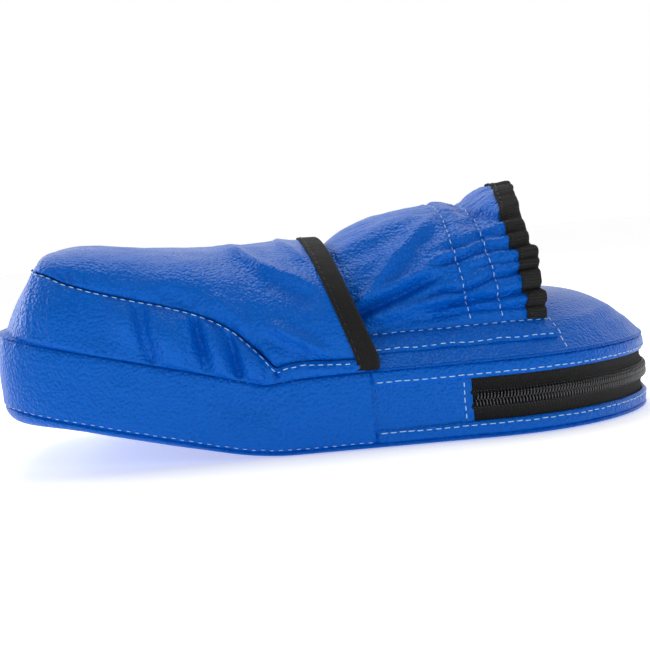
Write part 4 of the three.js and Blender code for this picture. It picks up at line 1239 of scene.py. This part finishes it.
SLEEVE_FOOT = COVER_EDGE_X - SLEEVE_OVERLAP
SLEEVE_TOP = COVER_EDGE_X - COVER_SLANT * COVER_MOUTH_RISE - SLEEVE_OVERLAP
CUFF_EDGE = [
    (46, -2.0), (50, -1.6), (62, -0.8), (65, -2.4), (69, -2.6), (79, -1.8), (83.2, -2.2), (85.0, -5.0),
    (91, -5.2), (98, -6.4), (103, -5.2), (108, -5.0), (112.5, -1.6), (114, 0.0),
]
SLEEVE_FOLDS = [
    ([(-66, 58.5), (-60.7, 60.3), (-51.8, 63.5), (-42, 66.8), (-32, 71.4), (-20, 75.6)], 2.5, -3.6, True),
    ([(-66, 61), (-59.6, 64.5), (-45.4, 71.0), (-29.2, 75.6), (-17, 77.6)], 2.6, 1.9, True),
    ([(-62, 56.8), (-50, 58.6), (-40, 60.6), (-24, 63.4), (-13.5, 64.0)], 2.6, 1.8, True),
    ([(-60, 50.4), (-44.7, 53.0), (-28.3, 54.9), (-13.8, 57.2)], 1.9, -1.5, True),
    ([(-36, 58.0), (-26, 59.5), (-14, 60.4), (-6, 60.4)], 1.3, -1.2, True),
    ([(-62, 63), (-57.3, 67.2), (-42.3, 82.6), (-27.7, 94.7), (-13.5, 102)], 2.8, 1.7, True),
    ([(-52, 66), (-40, 79), (-27, 90), (-16, 96)], 3.4, -1.1, True),
    ([(-70, 85), (-61.4, 88.7), (-39.9, 98.6), (-18, 104)], 3.4, 1.3, True),
    ([(-64, 84), (-48, 90), (-32, 97)], 3.0, -0.8, False),
    ([(-33, 76.5), (-22, 81.4), (-12, 84.4)], 1.9, 0.8, True),
    ([(-8, 103.4), (-3, 101.8), (1.6, 99.6), (12, 97.2), (30, 96.0)], 1.8, -2.0, True),
    ([(-22, 84.4), (-10.9, 86.4), (0.8, 89.4), (14, 90.2), (32, 91.0)], 1.5, -1.5, True),
    ([(-30, 77.5), (-12.9, 80.7), (0.1, 84.1), (14, 84.0), (34, 84.0)], 1.6, -2.2, True),
    ([(-12, 74.5), (1.4, 77.5), (18, 78.0), (32, 78.4)], 1.3, -1.0, True),
    ([(-40, 62.3), (-22, 66.5), (-12.7, 66.3), (1.7, 70.9), (20, 73.0), (34, 73.6)], 1.5, -2.0, True),
    ([(-30, 58), (-12.4, 61.8), (2.1, 62.0), (20, 63.6), (34, 64.0)], 1.5, -2.2, True),
    ([(-25, 54.5), (-12.2, 56.6), (2.9, 57), (20, 56.2), (34, 55.8)], 1.4, -1.5, True),
]


def sleeve_point(a, b):
    """The sleeve before its folds: arches from inside the cover's mouth to the cuff."""
    across, rise = arch(b)
    foot = SLEEVE_FOOT + (CUFF_X - SLEEVE_FOOT) * a
    middle = SLEEVE_TOP + (CUFF_X - SLEEVE_TOP) * a
    half = half_width(foot) - SLEEVE_INSET
    low = back_height(foot, -half) + 0.9
    top = height_curve(SLEEVE_RIDGE, middle)
    return np.stack([foot + (middle - foot) * rise, half * across, low + (top - low) * rise], -1)


def seam_x(x, z):
    """x of a stitch line of the elastic at a height: the lines lean towards the fingers as they rise."""
    return x + 0.105 * (75 - z)


def sleeve_patch():
    """The sleeve with its folds: they fan out from the cover's mouth, gather into the elastic and open
    again into the ruffle, whose edge steps in and out."""
    a = np.linspace(0, 1, 158)
    b = np.linspace(0, 1, 236)
    grid_a, grid_b = np.meshgrid(a, b, indexing="ij")
    p = sleeve_point(grid_a, grid_b)
    patch = Patch(p, False, UP)
    x, y, z = np.moveaxis(p, -1, 0)
    across_gap = np.linalg.norm(np.diff(p, axis=1), axis=-1)
    run = np.concatenate([np.zeros((len(a), 1)), np.cumsum(across_gap, 1)], 1)
    side = np.minimum(run, run[:, -1:] - run)
    elastic = smoothstep(-26, -12, x)
    ruffle = smoothstep(3, 24, x)
    soft_foot = smoothstep(0, 7, side)
    shape = 1.4 * folds(p, SLEEVE_FOLDS) * (1 + 0.5 * ruffle)
    shape = shape + 0.9 * elastic
    top_part = smoothstep(84, 104, z)
    pleats = noise(np.stack([run, x * 0.25], -1), (7.5, 14), 107, 2)
    shape = shape + pleats * (0.45 * elastic + 1.0 * ruffle) * (0.45 + 0.55 * top_part)
    wrinkles = noise(np.stack([run, x], -1), (4.0, 13), 109, 3)
    shape = shape + wrinkles * (0.22 + 0.45 * elastic * (1 - ruffle))
    shape = shape + noise(p, 22, 103, 3) * 0.9 * (1 - elastic)
    for line in ELASTIC:
        shape = shape - 1.15 * bell(x - seam_x(line, z), 1.25)
    outer = patch.pushed(shape * soft_foot)
    edge = np.interp(z, *np.array(CUFF_EDGE).T)
    outer[..., 0] += edge * smoothstep(2, 26, x) * np.where(y < 0, 1, 0.8)
    return Patch(outer, False, UP)


def elastic_line(patch, line, b):
    """Shares of the sleeve at which a stitch line of the elastic lies."""
    columns = patch.points.shape[1] - 1
    points = patch.points[:, np.clip((b * columns).astype(int), 0, columns)]
    target = seam_x(line, points[..., 2])
    gap = np.abs(points[..., 0] - target)
    return np.argmin(gap, 0) / (patch.points.shape[0] - 1)


def hem_patch(side):
    """A hem: the sleeve's edge turned out over the back panel and sewn down along both of its edges."""
    x = np.linspace(HEM[0] - 3, HEM[1], 170)
    v = np.concatenate([[0, 0.03, 0.07, 0.12], np.linspace(0.2, 1, 12)])
    grid_x, grid_v = np.meshgrid(x, v, indexing="ij")
    inset = HEM_INSET + HEM_WIDTH * grid_v
    y = side * (half_width(grid_x) - inset)
    rise = 1.75 - 1.1 * np.exp(-grid_v * HEM_WIDTH / 0.55) + 0.35 * (1 - (2 * grid_v - 1) ** 2)
    flat = np.stack([grid_x, grid_v * 9], -1)
    rise = rise + noise(flat, (11, 7), 121 + side, 3) * 0.35
    for seam, depth in ((1.35, 0.3), (8.2, 0.35)):
        rise = rise - depth * bell(grid_v * HEM_WIDTH - seam, 0.6)
    z = back_height(grid_x, y) + rise
    return Patch(np.stack([grid_x, y, z], -1), False, UP)


def build_sleeve():
    """The hand sleeve, the elastic in its channel, the bound cuff, its hems and their thread."""
    patch = sleeve_patch()
    sleeve = place(shell("hand_sleeve_skin", patch, 1.0, LEATHER_BLUE), "hand_sleeve", slot="leather_blue")
    sewn_on = []
    b = np.linspace(0.008, 0.992, 900)
    ends = []
    for line, name in zip(ELASTIC, ("inner", "outer")):
        a = elastic_line(patch, line, b)
        a = np.convolve(np.pad(a, 6, mode="edge"), np.ones(13) / 13, "valid")
        ends.append(a)
        sewn = stitches(f"sleeve_elastic_thread_{name}", patch.at(a, b), THREAD, radius=0.21)
        sewn_on.append(place(sewn, slot="leather_blue"))
    share = np.linspace(0, 1, 10)
    pick = slice(20, 880, 4)
    u = ends[0][pick][None] + (ends[1][pick] - ends[0][pick])[None] * share[:, None]
    spots, normals = patch.at(u, np.broadcast_to(b[pick], u.shape))
    band = Patch(spots - normals * 1.5, False, UP)
    elastic = shell("sleeve_elastic_band", band, 1.0, ELASTIC_WHITE)
    sewn_on.append(place(elastic, "sleeve_elastic", slot="elastic_white"))

    b = np.linspace(0.003, 0.997, 640)
    spots, ways, normals = edge_frame(patch, b, 0.05)
    sewn_on += binding("cuff_binding_tape", "cuff_binding", spots, ways, normals, RIBBED_TAPE, 1.0, 19)

    for side, name in ((-1, "near"), (1, "far")):
        hem = hem_patch(side)
        made = shell(f"sleeve_hem_{name}_skin", hem, 1.2, LEATHER_BLUE)
        place(made, f"sleeve_hem_{name}", slot="leather_blue")
        u = np.linspace(0.03, 0.985, 700)
        for v, part in ((0.15, "outer"), (0.925, "inner")):
            sewn = stitches(f"sleeve_hem_{name}_{part}_thread", hem.at(u, np.full_like(u, v)), THREAD)
            place(sewn, slot="leather_blue")
        x = np.linspace(25.5, 31, 120)
        inset = np.linspace(15.2, 0.9, 120)
        y = side * (half_width(x) - inset)
        points = np.stack([x, y, back_height(x, y) + 0.35 + 1.6 * smoothstep(5.5, 6.5, inset)], -1)
        up = np.broadcast_to(np.array([0.0, side * 0.6, 0.8]), points.shape)
        sewn = stitches(f"sleeve_end_{name}_thread", (points, up), THREAD, pitch=3.4, length=2.7)
        place(sewn, slot="leather_blue")


back_panel = build_pad()
build_slider()
build_cover()
build_sleeve()


# ---------------------------------------------------------------- floor, light and camera


def add_stage():
    """A plain pale floor under the mitt."""
    paint = material("studio_floor", "F6F6F6", 0.9, Emission_Color=(1, 1, 1, 1), Emission_Strength=0.45)[0]
    corners = np.array([[-9000, -9000, -0.4], [9000, -9000, -0.4], [9000, 9000, -0.4], [-9000, 9000, -0.4]])
    mesh = bpy.data.meshes.new("studio_floor")
    mesh.from_pydata((corners * MM).tolist(), [], [(0, 1, 2, 3)])
    mesh.materials.append(paint)
    floor = bpy.data.objects.new("studio_floor", mesh)
    bpy.context.scene.collection.objects.link(floor)


def add_light(name, location, target, size, energy):
    """A square soft light that looks at a point."""
    data = bpy.data.lights.new(name, "AREA")
    data.shape = "SQUARE"
    data.size = size
    data.energy = energy
    made = bpy.data.objects.new(name, data)
    bpy.context.scene.collection.objects.link(made)
    aim(made, location, target)
    return made


def aim(made, location, target):
    """Places a light or camera and turns its -Z towards a point."""
    made.location = location
    made.rotation_mode = "QUATERNION"
    way = Vector(target) - Vector(location)
    made.rotation_quaternion = way.to_track_quat("-Z", "Y")


def add_camera():
    """The camera: a long way off, a little above the sleeve, and rolled so that the heel end rises."""
    data = bpy.data.cameras.new("camera")
    data.sensor_width = 36
    data.lens = 71.457
    data.clip_start = 0.01
    data.clip_end = 50
    made = bpy.data.objects.new("camera", data)
    bpy.context.scene.collection.objects.link(made)
    aim(made, (-0.10982, -0.64931, 0.09792), (-0.07298, -0.002, 0.05175))
    made.rotation_quaternion = made.rotation_quaternion @ Quaternion((0, 0, 1), math.radians(-5.3))
    bpy.context.scene.camera = made


def add_world():
    """A studio with a white backdrop behind the mitt, and dimmer in front of it."""
    world = bpy.data.worlds.new("studio")
    bpy.context.scene.world = world
    world.use_nodes = True
    tree = world.node_tree
    way = node(tree, "ShaderNodeTexCoord").outputs["Object"]
    parts = node(tree, "ShaderNodeSeparateXYZ", Vector=way)
    strength = node(
        tree, "ShaderNodeMapRange", Value=parts.outputs["Y"], From_Min=-0.5, From_Max=0.5, To_Min=0.1,
        To_Max=1.0,
    )
    tree.nodes["Background"].inputs["Color"].default_value = (1, 1, 1, 1)
    tree.links.new(strength.outputs[0], tree.nodes["Background"].inputs["Strength"])


add_stage()
add_world()
add_light("top_softbox", (-0.1, 0.3, 1.1), (-0.06, 0, 0.05), 0.8, 4)
add_light("left_back_softbox", (-0.95, 0.5, 0.4), (-0.1, 0, 0.05), 0.6, 4)
add_light("front_softbox", (0.45, -1.2, 0.5), (-0.02, 0, 0.05), 0.3, 3.2)
add_light("left_front_softbox", (-0.9, -1.0, 0.5), (-0.1, 0, 0.05), 0.3, 1.8)
add_camera()
bpy.context.scene.view_settings.view_transform = "Standard"
